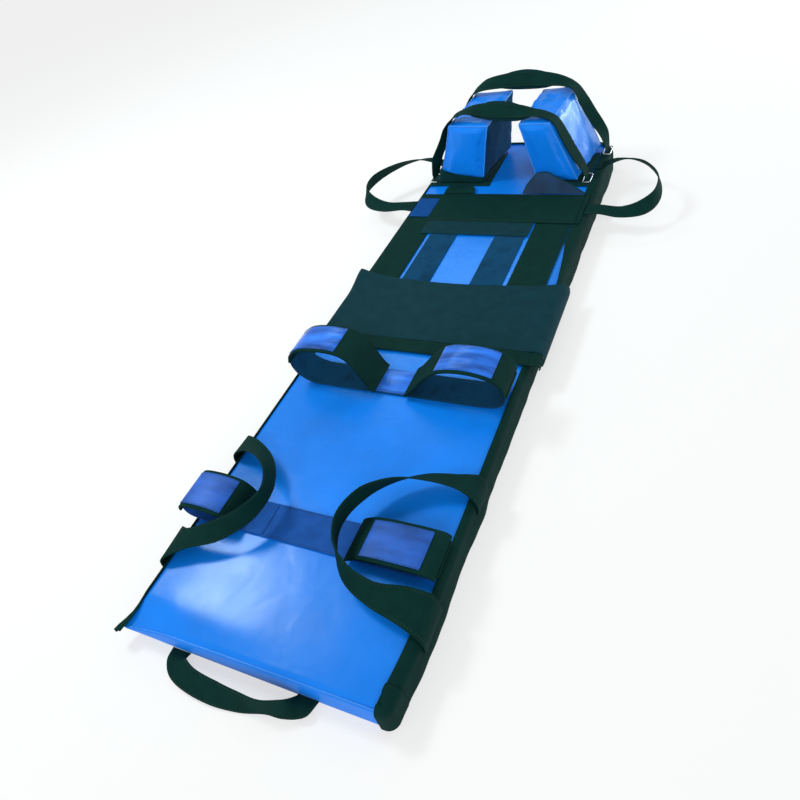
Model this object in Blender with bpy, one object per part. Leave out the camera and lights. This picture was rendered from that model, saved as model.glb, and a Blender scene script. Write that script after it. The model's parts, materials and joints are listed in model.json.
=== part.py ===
"""Padded rescue stretcher: a vinyl-covered board with head blocks, belts, leg cuffs and webbing handles.

Metres, +Z up. The origin is the middle of the board's underside, +Y points to the head end.
Distances along the board are written from the foot end, and from_foot() brings them to the origin.
"""

import math

import bmesh
import bpy
from mathutils import Vector
from mathutils.geometry import interpolate_bezier

# Board
WIDTH = 0.530
LENGTH = 1.800
THICKNESS = 0.060
EDGE_RADIUS = 0.012
HEAD_CORNER = 0.085
FOOT_CORNER = 0.014
CORNER_STEPS = 5
EDGE_STEPS = 3
VINYL = 0.0015
CORE = 0.008
CORE_INSET = 0.020
FOAM_INSET = 0.004
GAP = 0.0005
TINY = 1e-9

# Webbing and straps
BORDER = 0.002
BORDER_OVERLAP = {"left": 0.004, "right": 0.030}
HEAD_OVERLAP = 0.016
BAND = 0.002
WEB_HALF = 0.020
SLANTED = 1.3
WEB_THICK = 0.003
BELT = 0.0032
CUFF = 0.004
PATCH = 0.0012
STRIP = 0.003

# Torso bands lie between the waist belt and the head end of the chest belt, given as (from, to) across
TORSO_FROM, TORSO_TO = 0.790, 1.462
TORSO_BANDS = {"left": (-0.2560, -0.159), "right": (0.135, 0.2305)}
LOOP_STRIPS = {"left": (-0.149, -0.070), "right": (0.040, 0.123)}

# Belts, from the foot end
WAIST_FROM, WAIST_TO, WAIST_HEM = 0.796, 1.035, 0.754
CHEST_FROM, CHEST_TO, CHEST_STRIP_FROM = 1.312, 1.460, 1.245
CHEST_LEFT, CHEST_HINGE = -0.188, 0.2390
CHEST_STRIP_ACROSS = (-0.180, 0.130)

# Leg restraints: middle from the foot end, half widths of the strip and of its cuffs
ANKLE_AT, KNEE_AT = 0.257, 0.656
STRIP_HALF, CUFF_HALF, CUFF_PATCH_HALF = 0.037, 0.045, 0.038

# Head immobiliser
BLOCK_FROM, BLOCK_TO = 1.530, 1.750
BLOCK_BULGE, BLOCK_EDGE, BLOCK_CUTS = 0.005, 0.007, 3
FOAM_CLEARANCE = 0.0028
LOOP_PATCH_FROM, LOOP_PATCH_TO = 1.514, 1.712
LOOP_PATCHES = {"left": (-0.2555, -0.060), "right": (0.085, 0.2305)}
CHIN_AT, FOREHEAD_AT = 1.555, 1.722
RING_HALF = (0.0105, 0.025)
RING_WIRE = 0.002
PAD_GAP = 0.0025

BLACK = (0.010, 0.030, 0.028)
BLUE = (0.030, 0.220, 0.860)
VIOLET = (0.050, 0.150, 0.600)
NAVY = (0.006, 0.045, 0.115)
FOAM = (0.75, 0.73, 0.62)
STEEL = (0.60, 0.61, 0.62)

LAID = THICKNESS + GAP
OVER_BORDER = LAID + BORDER + GAP


def from_foot(distance):
    """A distance from the foot end, measured from the board's middle."""
    return distance - LENGTH / 2


def finish(obj, colour, roughness=0.6, metallic=0.0):
    material = bpy.data.materials.new(obj.name)
    material.use_nodes = True
    shader = material.node_tree.nodes["Principled BSDF"]
    shader.inputs["Base Color"].default_value = (*colour, 1.0)
    shader.inputs["Roughness"].default_value = roughness
    shader.inputs["Metallic"].default_value = metallic
    obj.data.materials.append(material)
    return obj


def add_mesh(name, bm, pivot=(0, 0, 0)):
    """A mesh object whose origin is at pivot, the point on its joint's axis where it moves."""
    bmesh.ops.translate(bm, verts=bm.verts, vec=-Vector(pivot))
    mesh = bpy.data.meshes.new(name)
    bm.to_mesh(mesh)
    bm.free()
    obj = bpy.data.objects.new(name, mesh)
    obj.location = pivot
    bpy.context.scene.collection.objects.link(obj)
    return obj


def solidify(obj, thickness, offset=0.0):
    wall = obj.modifiers.new("Wall", "SOLIDIFY")
    wall.thickness = thickness
    wall.offset = offset
    wall.use_even_offset = True
    return wall


def smooth(points, steps):
    """Points on a curve through points, with so many steps from each to the next.

    Its slope at a point is weighed by the distances to both neighbours, so it doesn't swing past them.
    """
    points = [Vector(p) for p in points]
    ends = [points[0] * 2 - points[1], *points, points[-1] * 2 - points[-2]]
    found = []
    for a, b, c, d in zip(ends, ends[1:], ends[2:], ends[3:]):
        length = (c - b).length
        leave = (c - a) * (length / max(length + (b - a).length, TINY)) / 3
        arrive = (d - b) * (length / max(length + (d - c).length, TINY)) / 3
        found += interpolate_bezier(b, b + leave, c - arrive, c, steps + 1)[:-1]
    return [*found, points[-1]]


def sheet(columns, rows, place):
    """A bmesh grid of columns by rows points, each put at place(column, row)."""
    bm = bmesh.new()
    bmesh.ops.create_grid(bm, x_segments=columns - 1, y_segments=rows - 1, size=0.5)
    for vert in bm.verts:
        column = round((vert.co.x + 0.5) * (columns - 1))
        row = round((vert.co.y + 0.5) * (rows - 1))
        vert.co = place(column, row)
    return bm


def ribbon_frame(stations, steps, offset=0.0):
    """Middle points and half-width vectors along a ribbon, moved off by offset along its face's normal."""
    middles = smooth([s[0] for s in stations], steps)
    halves = smooth([s[1] for s in stations], steps)
    last = len(middles) - 1
    moved = []
    for i, (middle, half) in enumerate(zip(middles, halves)):
        tangent = middles[min(i + 1, last)] - middles[max(i - 1, 0)]
        moved.append(middle + tangent.cross(half).normalized() * offset)
    return moved, halves


def ribbon(name, stations, thickness, colour, pivot=(0, 0, 0), steps=3, roughness=0.6):
    """A strap: stations are (middle point, half-width vector), and a smooth curve joins them."""
    middles, halves = ribbon_frame(stations, steps)
    bm = sheet(len(middles), 2, lambda i, row: middles[i] + halves[i] * (2 * row - 1))
    obj = finish(add_mesh(name, bm, pivot), colour, roughness)
    solidify(obj, thickness)
    return obj


def across_board(path, middle, half, lean=0.0, rise=(0.0, 1.0)):
    """Stations of a strap that crosses the board: path holds (x, z), and its width runs along the board.

    lean shifts the strap along the board between the heights in rise.
    """
    low, high = rise
    stations = []
    for x, z in path:
        share = min(max((z - low) / (high - low), 0.0), 1.0)
        stations.append(((x, from_foot(middle) + lean * share, z), (0, half, 0)))
    return stations


def slab(name, across, along, low, high, colour, pivot=(0, 0, 0), roughness=0.6):
    """A flat strip: across is (x from, x to), along is (from, to) from the foot end."""
    bm = bmesh.new()
    bmesh.ops.create_cube(bm, size=1.0)
    size = Vector((across[1] - across[0], along[1] - along[0], high - low))
    bmesh.ops.scale(bm, verts=bm.verts, vec=size)
    middle = (sum(across) / 2, from_foot(sum(along) / 2), (low + high) / 2)
    bmesh.ops.translate(bm, verts=bm.verts, vec=middle)
    return finish(add_mesh(name, bm, pivot), colour, roughness)


def outline(inset):
    """The board's plan, anticlockwise from the foot end's right corner, moved in by inset."""
    half_wide = WIDTH / 2 - BORDER - GAP - inset
    half_long = LENGTH / 2 - inset
    corners = (
        (1, -1, FOOT_CORNER, -90),
        (1, 1, HEAD_CORNER, 0),
        (-1, 1, HEAD_CORNER, 90),
        (-1, -1, FOOT_CORNER, 180),
    )
    points = []
    for side, end, radius, start in corners:
        radius = max(radius - inset, 0.001)
        for step in range(CORNER_STEPS + 1):
            angle = math.radians(start + 90 * step / CORNER_STEPS)
            x = side * (half_wide - radius) + radius * math.cos(angle)
            y = end * (half_long - radius) + radius * math.sin(angle)
            points.append((x, y))
    return points


def edge_profile(lift, reach):
    """(inset, height) down the board's edge, from reach inside it over the round edge to the underside."""
    radius = EDGE_RADIUS + lift
    points = [(reach, THICKNESS + lift)] if reach > EDGE_RADIUS else []
    start = math.asin(max(EDGE_RADIUS - reach, 0.0) / radius)
    for step in range(EDGE_STEPS + 1):
        angle = start + (math.pi / 2 - start) * step / EDGE_STEPS
        inset = EDGE_RADIUS - radius * math.sin(angle)
        points.append((inset, THICKNESS - EDGE_RADIUS + radius * math.cos(angle)))
    points.append((-lift, VINYL + GAP))
    return points


def panel(name, inset, low, high, colour, roughness=0.6):
    """A flat layer of the board with the board's plan moved in by inset."""
    bm = bmesh.new()
    face = bm.faces.new([bm.verts.new((x, y, low)) for x, y in outline(inset)])
    raised = bmesh.ops.extrude_face_region(bm, geom=[face])["geom"]
    tops = [v for v in raised if isinstance(v, bmesh.types.BMVert)]
    bmesh.ops.translate(bm, verts=tops, vec=(0, 0, high - low))
    bmesh.ops.recalc_face_normals(bm, faces=bm.faces)
    return finish(add_mesh(name, bm), colour, roughness)


def board_layers():
    """Underside sheet, stiff core between two foam pads, and the vinyl cover over them."""
    panel("bottom_cover", 0.0, 0.0, VINYL, BLUE, 0.35)
    low = VINYL + GAP
    high = THICKNESS - VINYL - GAP
    core_low = (low + high - CORE) / 2
    core_high = core_low + CORE
    panel("foam_lower", FOAM_INSET, low, core_low - GAP, FOAM, 0.9)
    panel("core_board", CORE_INSET, core_low, core_high, (0.85, 0.85, 0.83), 0.5)
    foam = panel("foam_upper", FOAM_INSET, core_high + GAP, high, FOAM, 0.9)
    edge = foam.modifiers.new("Round", "BEVEL")
    edge.width = EDGE_RADIUS
    edge.segments = 2

    profile = edge_profile(0.0, EDGE_RADIUS + 0.002)
    rings = [outline(inset) for inset, _ in profile]
    count = len(rings[0])
    bm = sheet(
        count + 1, len(profile), lambda i, row: Vector((*rings[row][i % count], profile[row][1]))
    )
    bmesh.ops.remove_doubles(bm, verts=bm.verts, dist=1e-5)
    top = [e for e in bm.edges if e.is_boundary and e.verts[0].co.z > THICKNESS - EDGE_RADIUS]
    bmesh.ops.contextual_create(bm, geom=top)
    bmesh.ops.recalc_face_normals(bm, faces=bm.faces)
    cover = finish(add_mesh("top_cover", bm), BLUE, 0.3)
    solidify(cover, VINYL, -1.0)


def border(name, first, last, overlap):
    """Webbing sewn over the board's edge, along the plan's points from first to last."""
    profile = edge_profile(GAP + BORDER / 2, overlap)
    profile[-1] = (profile[-1][0], 0.0)
    rings = [outline(inset) for inset, _ in profile]
    count = len(rings[0])
    bm = sheet(
        last - first + 1,
        len(profile),
        lambda i, row: Vector((*rings[row][(first + i) % count], profile[row][1])),
    )
    solidify(finish(add_mesh(name, bm), BLACK), BORDER)


def borders():
    """Both sides, and the head end with its round corners, which laps over the ends of the sides."""
    corner = CORNER_STEPS + 1
    border("side_border_right", CORNER_STEPS, corner, BORDER_OVERLAP["right"])
    border("head_border", corner + 1, 3 * corner - 2, HEAD_OVERLAP)
    border("side_border_left", 3 * corner - 1, 3 * corner, BORDER_OVERLAP["left"])


def torso_harness():
    for side in ("left", "right"):
        along = (TORSO_FROM, TORSO_TO)
        slab(f"torso_band_{side}", TORSO_BANDS[side], along, LAID, LAID + BAND, BLACK)
        slab(f"loop_strip_{side}", LOOP_STRIPS[side], along, LAID, LAID + BAND, NAVY, roughness=0.8)


def waist_belt():
    """A wide belt, sewn to the left edge, that crosses the board and hangs over the right edge."""
    hinge = (-0.2715, from_foot(WAIST_FROM), 0.0520)
    wall = WIDTH / 2 + GAP
    slab("waist_belt_anchor", (-wall - BELT, -wall - 0.0005), (WAIST_FROM, WAIST_TO), 0.010, 0.0510, BLACK)
    flat = OVER_BORDER + BELT / 2
    path = [
        (-0.2695, 0.0530), (-0.2702, 0.0600), (-0.2640, flat + 0.0015), (-0.2400, flat), (0.0, flat),
        (0.2400, flat), (0.2680, flat + 0.0010), (0.2840, 0.0590), (0.2870, 0.0440), (0.2810, 0.0250),
    ]
    middle = (WAIST_FROM + WAIST_TO) / 2
    stations = across_board(path, middle, (WAIST_TO - WAIST_FROM) / 2)
    ribbon("waist_belt", stations, BELT, BLACK, hinge)
    slab(
        "waist_belt_hem", (-0.250, 0.262), (WAIST_HEM, WAIST_FROM - GAP),
        OVER_BORDER, OVER_BORDER + BELT, BLACK, hinge,
    )


def chest_belt():
    """A belt sewn along the right edge, with a hook strip along its lower side."""
    hinge = (CHEST_HINGE, from_foot(CHEST_FROM), OVER_BORDER + BELT)
    low, high = OVER_BORDER, OVER_BORDER + BELT
    slab("chest_belt_anchor", (CHEST_HINGE + GAP, 0.2505), (CHEST_FROM, CHEST_TO), low, high, BLACK)
    slab("chest_belt", (CHEST_LEFT, CHEST_HINGE - GAP), (CHEST_FROM, CHEST_TO), low, high, BLACK, hinge)
    slab(
        "chest_belt_strip", CHEST_STRIP_ACROSS, (CHEST_STRIP_FROM, CHEST_FROM - GAP),
        low, high - 0.0008, NAVY, hinge, 0.8,
    )


def shoulder_tabs():
    """Padded ends of the shoulder straps, which stand out from under the chest belt."""
    left = [
        ((-0.138, from_foot(1.464), 0.0640), (-0.048, 0, 0)),
        ((-0.139, from_foot(1.482), 0.0690), (-0.045, 0, 0)),
        ((-0.141, from_foot(1.498), 0.0690), (-0.036, 0, 0)),
        ((-0.142, from_foot(1.508), 0.0660), (-0.020, 0, 0)),
    ]
    right = [
        ((0.148, from_foot(1.464), 0.0650), (-0.092, 0, 0)),
        ((0.132, from_foot(1.480), 0.0830), (-0.066, 0, 0)),
        ((0.118, from_foot(1.494), 0.0990), (-0.036, 0, 0)),
        ((0.111, from_foot(1.504), 0.1090), (-0.012, 0, 0)),
    ]
    for side, stations in (("left", left), ("right", right)):
        ribbon(f"shoulder_tab_{side}", stations, CUFF, BLACK)


def cuff(name, side, path, at, patch, lean=0.0, rise=(0.0, 1.0)):
    """A cuff's upper layer, from its fold at the board's side to its free end, and the vinyl patch on it.

    It turns about its fold. patch gives where the patch begins and ends, as shares of the cuff's length.
    """
    fold_x, fold_z = path[0]
    pivot = (fold_x + side * (CUFF / 2 + GAP), from_foot(at), fold_z - 0.0008)
    stations = across_board(path, at, -side * CUFF_HALF, lean, rise)
    ribbon(name, stations, CUFF, BLACK, pivot)

    stations = across_board(path, at, -side * CUFF_PATCH_HALF, lean, rise)
    middles, halves = ribbon_frame(stations, 3, CUFF / 2 + 2 * GAP + PATCH / 2)
    first, last = (round(share * (len(middles) - 1)) for share in patch)
    bm = sheet(
        last - first + 1, 2, lambda i, row: middles[first + i] + halves[first + i] * (2 * row - 1)
    )
    obj = finish(add_mesh(f"{name}_patch", bm, pivot), VIOLET, 0.35)
    solidify(obj, PATCH)


def leg_restraints():
    """Ankle and knee straps: a strip across the board whose ends fold back as a cuff for each leg."""
    flat = LAID + STRIP / 2 + 0.0003
    over = OVER_BORDER + STRIP / 2 + 0.0005

    ankle = [
        (-0.2745, 0.0910), (-0.2730, 0.0810), (-0.2640, 0.0715), (-0.2450, 0.0665), (-0.2250, flat + 0.0010),
        (-0.2000, flat), (0.0, flat), (0.1950, flat), (0.2150, flat + 0.0016), (0.2300, over),
        (0.2450, over + 0.0020), (0.2535, 0.0754),
    ]
    ribbon("ankle_strap", across_board(ankle, ANKLE_AT, STRIP_HALF), STRIP, NAVY)
    left = [
        (-0.2745, 0.0936), (-0.2720, 0.1040), (-0.2620, 0.1115), (-0.2380, 0.1148), (-0.2080, 0.1135),
        (-0.1790, 0.1060), (-0.1635, 0.0920), (-0.1560, 0.0780), (-0.1522, 0.0675),
    ]
    cuff("ankle_cuff_left", -1, left, ANKLE_AT, (0.12, 0.68))
    right = [
        (0.2535, 0.0780), (0.2480, 0.0848), (0.2350, 0.0880), (0.1900, 0.0895), (0.1450, 0.0885),
        (0.1130, 0.0835), (0.0960, 0.0765), (0.0820, 0.0675),
    ]
    cuff("ankle_cuff_right", 1, right, ANKLE_AT, (0.29, 0.74))

    knee = [
        (-0.2440, 0.1185), (-0.2420, 0.1030), (-0.2330, 0.0850), (-0.2150, 0.0710), (-0.1900, flat + 0.0010),
        (-0.1600, flat), (0.0, flat), (0.1950, flat), (0.2150, flat + 0.0016), (0.2320, over + 0.0010),
        (0.2480, 0.0760), (0.2550, 0.0880), (0.2570, 0.1015),
    ]
    ribbon("knee_strap", across_board(knee, KNEE_AT, STRIP_HALF), STRIP, VIOLET, roughness=0.4)
    left = [
        (-0.2440, 0.1210), (-0.2380, 0.1390), (-0.2150, 0.1540), (-0.1800, 0.1610), (-0.1400, 0.1620),
        (-0.1050, 0.1540), (-0.0790, 0.1330), (-0.0620, 0.1050), (-0.0500, 0.0800), (-0.0400, 0.0680),
    ]
    cuff("knee_cuff_left", -1, left, KNEE_AT, (0.08, 0.51), 0.008, (0.10, 0.15))
    right = [
        (0.2570, 0.1040), (0.2520, 0.1210), (0.2350, 0.1360), (0.2000, 0.1470), (0.1550, 0.1500),
        (0.1150, 0.1420), (0.0850, 0.1230), (0.0620, 0.0980), (0.0450, 0.0790), (0.0310, 0.0680),
    ]
    cuff("knee_cuff_right", 1, right, KNEE_AT, (0.20, 0.57), 0.008, (0.10, 0.14))


def handle(name, pivot_x, pivot_z, stations):
    """A webbing loop, given as (across, from the foot end, height, half-width direction).

    Between its sewn ends each half-width is made square to the path, so the webbing keeps its width. A direction
    longer than SLANTED stays as it is: it runs along an edge that the webbing crosses at a slant.
    """
    middles = [Vector((x, from_foot(y), z)) for x, y, z, _ in stations]
    halves = [Vector(direction) for *_, direction in stations]
    for i in range(1, len(middles) - 1):
        if halves[i].length < SLANTED:
            tangent = middles[i + 1] - middles[i - 1]
            halves[i] = (halves[i] - halves[i].project(tangent)).normalized()
    placed = [(middle, half * WEB_HALF) for middle, half in zip(middles, halves)]
    pivot = (pivot_x, middles[0].y, pivot_z)
    ribbon(name, placed, WEB_THICK, BLACK, pivot, steps=2)


def ankle_handles():
    """Loops sewn to the side walls, folded in over the ankle cuffs and standing on edge at the bend."""
    handle("ankle_handle_right", 0.2700, 0.0300, (
        (0.2680, 0.152, 0.031, (0, 1.9, 0)),
        (0.2690, 0.152, 0.056, (0, 1.9, 0)),
        (0.2580, 0.153, 0.078, (0, 1.9, 0.1)),
        (0.2200, 0.156, 0.088, (0, 1.5, 0.3)),
        (0.1650, 0.157, 0.095, (0.2, 0.8, 0.6)),
        (0.1120, 0.176, 0.102, (0.2, 0.4, 0.9)),
        (0.0740, 0.216, 0.108, (0, 0.1, 1)),
        (0.0580, 0.268, 0.110, (0, 0, 1)),
        (0.0740, 0.328, 0.108, (0, -0.1, 1)),
        (0.1150, 0.374, 0.102, (0.2, -0.4, 0.9)),
        (0.1700, 0.401, 0.094, (0.2, -0.8, 0.6)),
        (0.2250, 0.411, 0.086, (0, -1, 0.3)),
        (0.2590, 0.413, 0.077, (0, -1.4, 0.1)),
        (0.2690, 0.413, 0.056, (0, -1.4, 0)),
        (0.2680, 0.413, 0.031, (0, -1.4, 0)),
    ))
    handle("ankle_handle_left", -0.2700, 0.0300, (
        (-0.2680, 0.151, 0.031, (0, 1.8, 0)),
        (-0.2690, 0.151, 0.056, (0, 1.8, 0)),
        (-0.2580, 0.153, 0.078, (0, 1.8, 0.1)),
        (-0.2220, 0.163, 0.092, (-0.2, 1, 0.3)),
        (-0.1700, 0.184, 0.103, (-0.2, 0.7, 0.7)),
        (-0.1240, 0.222, 0.114, (-0.1, 0.3, 0.95)),
        (-0.1060, 0.270, 0.117, (0, 0, 1)),
        (-0.1210, 0.318, 0.115, (-0.1, -0.3, 0.95)),
        (-0.1640, 0.364, 0.107, (-0.2, -0.7, 0.7)),
        (-0.2160, 0.392, 0.095, (-0.1, -1, 0.3)),
        (-0.2570, 0.402, 0.078, (0, -1.4, 0.1)),
        (-0.2690, 0.403, 0.056, (0, -1.4, 0)),
        (-0.2680, 0.403, 0.031, (0, -1.4, 0)),
    ))


def shoulder_handles():
    """Loops that stand out sideways from the shoulders, on edge at the bend, and the patches they are sewn under."""
    low = OVER_BORDER
    flat = low + WEB_THICK / 2
    turn = low + WEB_THICK + 0.0003
    handle("shoulder_handle_left", -0.2530, turn, (
        (-0.2535, 1.386, flat, (0, 1.4, 0)),
        (-0.2900, 1.384, 0.0655, (0, 1, 0.1)),
        (-0.3500, 1.382, 0.0630, (0.2, 1, 0.25)),
        (-0.4100, 1.404, 0.0660, (0.45, 0.6, 0.6)),
        (-0.4480, 1.452, 0.0740, (0.3, 0.1, 1)),
        (-0.4420, 1.512, 0.0840, (0.3, -0.1, 1)),
        (-0.3950, 1.575, 0.0920, (0.4, -0.5, 0.8)),
        (-0.3350, 1.622, 0.0920, (0.3, -0.85, 0.5)),
        (-0.2850, 1.646, 0.0790, (0, -1, 0.15)),
        (-0.2535, 1.652, flat, (0, -1, 0)),
    ))
    handle("shoulder_handle_right", 0.2530, turn, (
        (0.2535, 1.386, flat, (0, 1.4, 0)),
        (0.2900, 1.385, 0.0650, (0, 1, 0.1)),
        (0.3450, 1.379, 0.0620, (-0.2, 1, 0.25)),
        (0.3950, 1.398, 0.0640, (-0.45, 0.6, 0.6)),
        (0.4260, 1.452, 0.0700, (-0.3, 0.1, 1)),
        (0.4220, 1.520, 0.0820, (-0.3, -0.1, 1)),
        (0.3830, 1.580, 0.0920, (-0.4, -0.5, 0.8)),
        (0.3320, 1.612, 0.0920, (-0.3, -0.85, 0.5)),
        (0.2850, 1.627, 0.0790, (0, -1, 0.15)),
        (0.2535, 1.632, flat, (0, -1, 0)),
    ))
    slab("handle_patch_left", (-0.2515, -0.1890), (1.330, 1.432), low, low + 0.0025, BLUE, roughness=0.35)
    for side, near, far, middle in (("left", -0.2515, -0.2340, 1.652), ("right", 0.2340, 0.2515, 1.632)):
        along = (middle - WEB_HALF, middle + WEB_HALF)
        slab(f"handle_tab_{side}", (near, far), along, low, low + WEB_THICK, BLACK)


def foot_handle():
    """A loop sewn into the foot end's lower seam, which lies on the ground in front of it."""
    wall = -0.0010
    handle("foot_handle", 0.0, 0.0098, (
        (-0.1570, wall, 0.0080, (1, 0, 0)),
        (-0.1560, -0.016, 0.0090, (1, 0.1, 0.1)),
        (-0.1420, -0.031, 0.0125, (0.75, 0.6, 0.3)),
        (-0.1050, -0.043, 0.0150, (0.3, 0.85, 0.5)),
        (-0.0500, -0.048, 0.0160, (0, 0.8, 0.6)),
        (0.0000, -0.047, 0.0185, (0, 0.5, 0.85)),
        (0.0450, -0.042, 0.0220, (-0.1, 0.15, 1)),
        (0.0800, -0.033, 0.0195, (-0.4, 0.15, 0.8)),
        (0.1010, -0.018, 0.0120, (-0.85, 0.1, 0.1)),
        (0.1050, wall, 0.0080, (-1, 0, 0)),
    ))


def block_corners(side):
    """Section of a head block at its front and rear: base (outer, inner), top (outer, inner) as (x, z)."""
    base = LAID + BAND + GAP + PATCH + GAP
    if side == "left":
        front = ((-0.228, base), (-0.082, base), (-0.170, 0.243), (-0.049, 0.236))
        rear = ((-0.226, base), (-0.055, base), (-0.151, 0.250), (-0.031, 0.252))
    else:
        front = ((0.205, base), (0.082, base), (0.127, 0.241), (0.034, 0.240))
        rear = ((0.232, base), (0.085, base), (0.156, 0.252), (0.057, 0.251))
    return front, rear


def block_mesh(side, shrink):
    """A head block as a cube whose corners take the block's section, with crowned faces."""
    front, rear = block_corners(side)
    bm = bmesh.new()
    bmesh.ops.create_cube(bm, size=2.0)
    bmesh.ops.subdivide_edges(bm, edges=bm.edges, cuts=BLOCK_CUTS, use_grid_fill=True)
    along = (from_foot(BLOCK_FROM), from_foot(BLOCK_TO))
    outward = -1 if side == "left" else 1
    for vert in bm.verts:
        a, b, c = vert.co
        ends = []
        for base_out, base_in, top_out, top_in in (front, rear):
            share = (outward * a + 1) / 2
            base = Vector(base_in).lerp(Vector(base_out), share)
            top = Vector(top_in).lerp(Vector(top_out), share)
            ends.append(base.lerp(top, (c + 1) / 2))
        x, z = ends[0].lerp(ends[1], (b + 1) / 2)
        y = along[0] + (along[1] - along[0]) * (b + 1) / 2
        crown = Vector((
            BLOCK_BULGE * (1 - b * b) * (1 - c * c) * (abs(a) > 0.99) - shrink,
            BLOCK_BULGE * (1 - a * a) * (1 - c * c) * (abs(b) > 0.99) - shrink,
            BLOCK_BULGE * (1 - a * a) * (1 - b * b) * (c > 0.99) - shrink * (c > 0),
        ))
        vert.co = Vector((x + crown.x * a, y + crown.y * b, z + crown.z * c))
    bmesh.ops.recalc_face_normals(bm, faces=bm.faces)
    return bm


def head_block(side):
    """Foam block in a vinyl cover that is open below, with a hook panel under it."""
    pivot = (sum(x for x, _ in block_corners(side)[0][:2]) / 2, from_foot(BLOCK_FROM), LAID)
    bm = block_mesh(side, 0.0)
    base = min(v.co.z for v in bm.verts)
    under = [f for f in bm.faces if all(v.co.z < base + 1e-4 for v in f.verts)]
    bmesh.ops.delete(bm, geom=under, context="FACES")
    cover = finish(add_mesh(f"head_block_{side}", bm, pivot), BLUE, 0.35)
    round_edges(cover)
    solidify(cover, PATCH, -1.0)
    foam = finish(add_mesh(f"head_block_{side}_foam", block_mesh(side, FOAM_CLEARANCE), pivot), FOAM, 0.9)
    round_edges(foam)

    (out_front, in_front), (out_rear, in_rear) = (end[:2] for end in block_corners(side))
    across = sorted((max(in_front[0], in_rear[0]), min(out_front[0], out_rear[0])))
    if side == "left":
        across = sorted((min(in_front[0], in_rear[0]), max(out_front[0], out_rear[0])))
    inset = 0.006
    low = LAID + BAND + GAP
    slab(
        f"head_block_{side}_hook", (across[0] + inset, across[1] - inset),
        (BLOCK_FROM + inset, BLOCK_TO - inset), low, low + PATCH, BLACK, pivot, 0.9,
    )


def round_edges(obj):
    edge = obj.modifiers.new("Round", "BEVEL")
    edge.width = BLOCK_EDGE
    edge.segments = 2
    edge.limit_method = "ANGLE"
    edge.angle_limit = math.radians(40)


def head_strap(name, at, path, pad, tilt):
    """A strap over both blocks: path holds (x, z, tilt share, lean), and pad where its pad begins and ends.

    The tilt stands the strap up between the blocks, so that its face looks to the foot end.
    The lean turns its rear edge to the right.
    """
    stations = []
    for x, z, share, lean in path:
        angle = tilt * share
        across = Vector((lean, math.cos(angle), math.sin(angle))).normalized()
        stations.append(((x, from_foot(at), z), across * WEB_HALF))
    end_x, end_z = path[-1][:2]
    pivot = (end_x + 0.0030, from_foot(at), end_z - 0.0012)
    ribbon(f"{name}_strap", stations, WEB_THICK, BLACK, pivot)

    pad_thick = 0.008
    middles, halves = ribbon_frame(stations, 3, -(WEB_THICK / 2 + PAD_GAP + pad_thick / 2))
    chosen = [i for i, m in enumerate(middles) if pad[0] < m.x < pad[1]]
    first, count, rows = chosen[0], len(chosen), 5

    def place(i, row):
        swell = math.sin(math.pi * (i + 0.6) / (count + 0.2))
        half = halves[first + i] * (0.35 + 1.0 * swell)
        return middles[first + i] + half * (row / (rows - 1) * 2 - 1)

    obj = finish(add_mesh(f"{name}_pad", sheet(count, rows, place), pivot), BLACK, 0.8)
    crown = obj.vertex_groups.new(name="crown")
    for vert in obj.data.vertices:
        row = vert.index // count
        crown.add([vert.index], 1.0 if 0 < row < rows - 1 else 0.0, "REPLACE")
    wall = solidify(obj, pad_thick)
    wall.vertex_group = "crown"
    wall.thickness_vertex_group = 0.35


def head_straps():
    head_strap("chin", CHIN_AT, (
        (-0.2460, 0.0705, 0.0, 0.0), (-0.2450, 0.0880, 0.0, 0.1), (-0.2340, 0.1340, 0.0, 0.3),
        (-0.2165, 0.1640, 0.0, 0.3), (-0.2000, 0.1955, 0.0, 0.2), (-0.1840, 0.2290, 0.0, 0.1),
        (-0.1590, 0.2560, 0.0, 0.0), (-0.1240, 0.2710, 0.0, 0.0), (-0.0950, 0.2745, 0.3, 0.0),
        (-0.0500, 0.2720, 0.9, 0.0), (0.0050, 0.2680, 0.9, 0.0), (0.0450, 0.2640, 0.5, 0.0),
        (0.0780, 0.2600, 0.1, 0.0), (0.1120, 0.2530, 0.0, 0.0), (0.1400, 0.2360, 0.0, 0.1),
        (0.1610, 0.1963, 0.0, 0.3), (0.1775, 0.1627, 0.0, 0.3), (0.1960, 0.1285, 0.0, 0.3),
        (0.2140, 0.0980, 0.0, 0.1), (0.2240, 0.0705, 0.0, 0.0),
    ), (-0.112, 0.080), math.radians(62))
    head_strap("forehead", FOREHEAD_AT, (
        (-0.2460, 0.0705, 0.0, 0.0), (-0.2410, 0.0870, 0.0, 0.1), (-0.2130, 0.1450, 0.0, 0.2),
        (-0.1810, 0.2059, 0.0, 0.2), (-0.1685, 0.2310, 0.0, 0.1), (-0.1540, 0.2525, 0.0, 0.0),
        (-0.1330, 0.2680, 0.2, 0.0), (-0.1050, 0.2790, 0.5, 0.0), (-0.0450, 0.2860, 1.0, 0.0),
        (0.0150, 0.2880, 1.0, 0.0), (0.0750, 0.2840, 0.8, 0.0), (0.1250, 0.2750, 0.3, 0.0),
        (0.1585, 0.2575, 0.0, 0.1), (0.1845, 0.2193, 0.0, 0.3), (0.2055, 0.1813, 0.0, 0.3),
        (0.2265, 0.1465, 0.0, 0.3), (0.2415, 0.1150, 0.0, 0.2), (0.2500, 0.0705, 0.0, 0.0),
    ), (-0.085, 0.110), math.radians(62))


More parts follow.
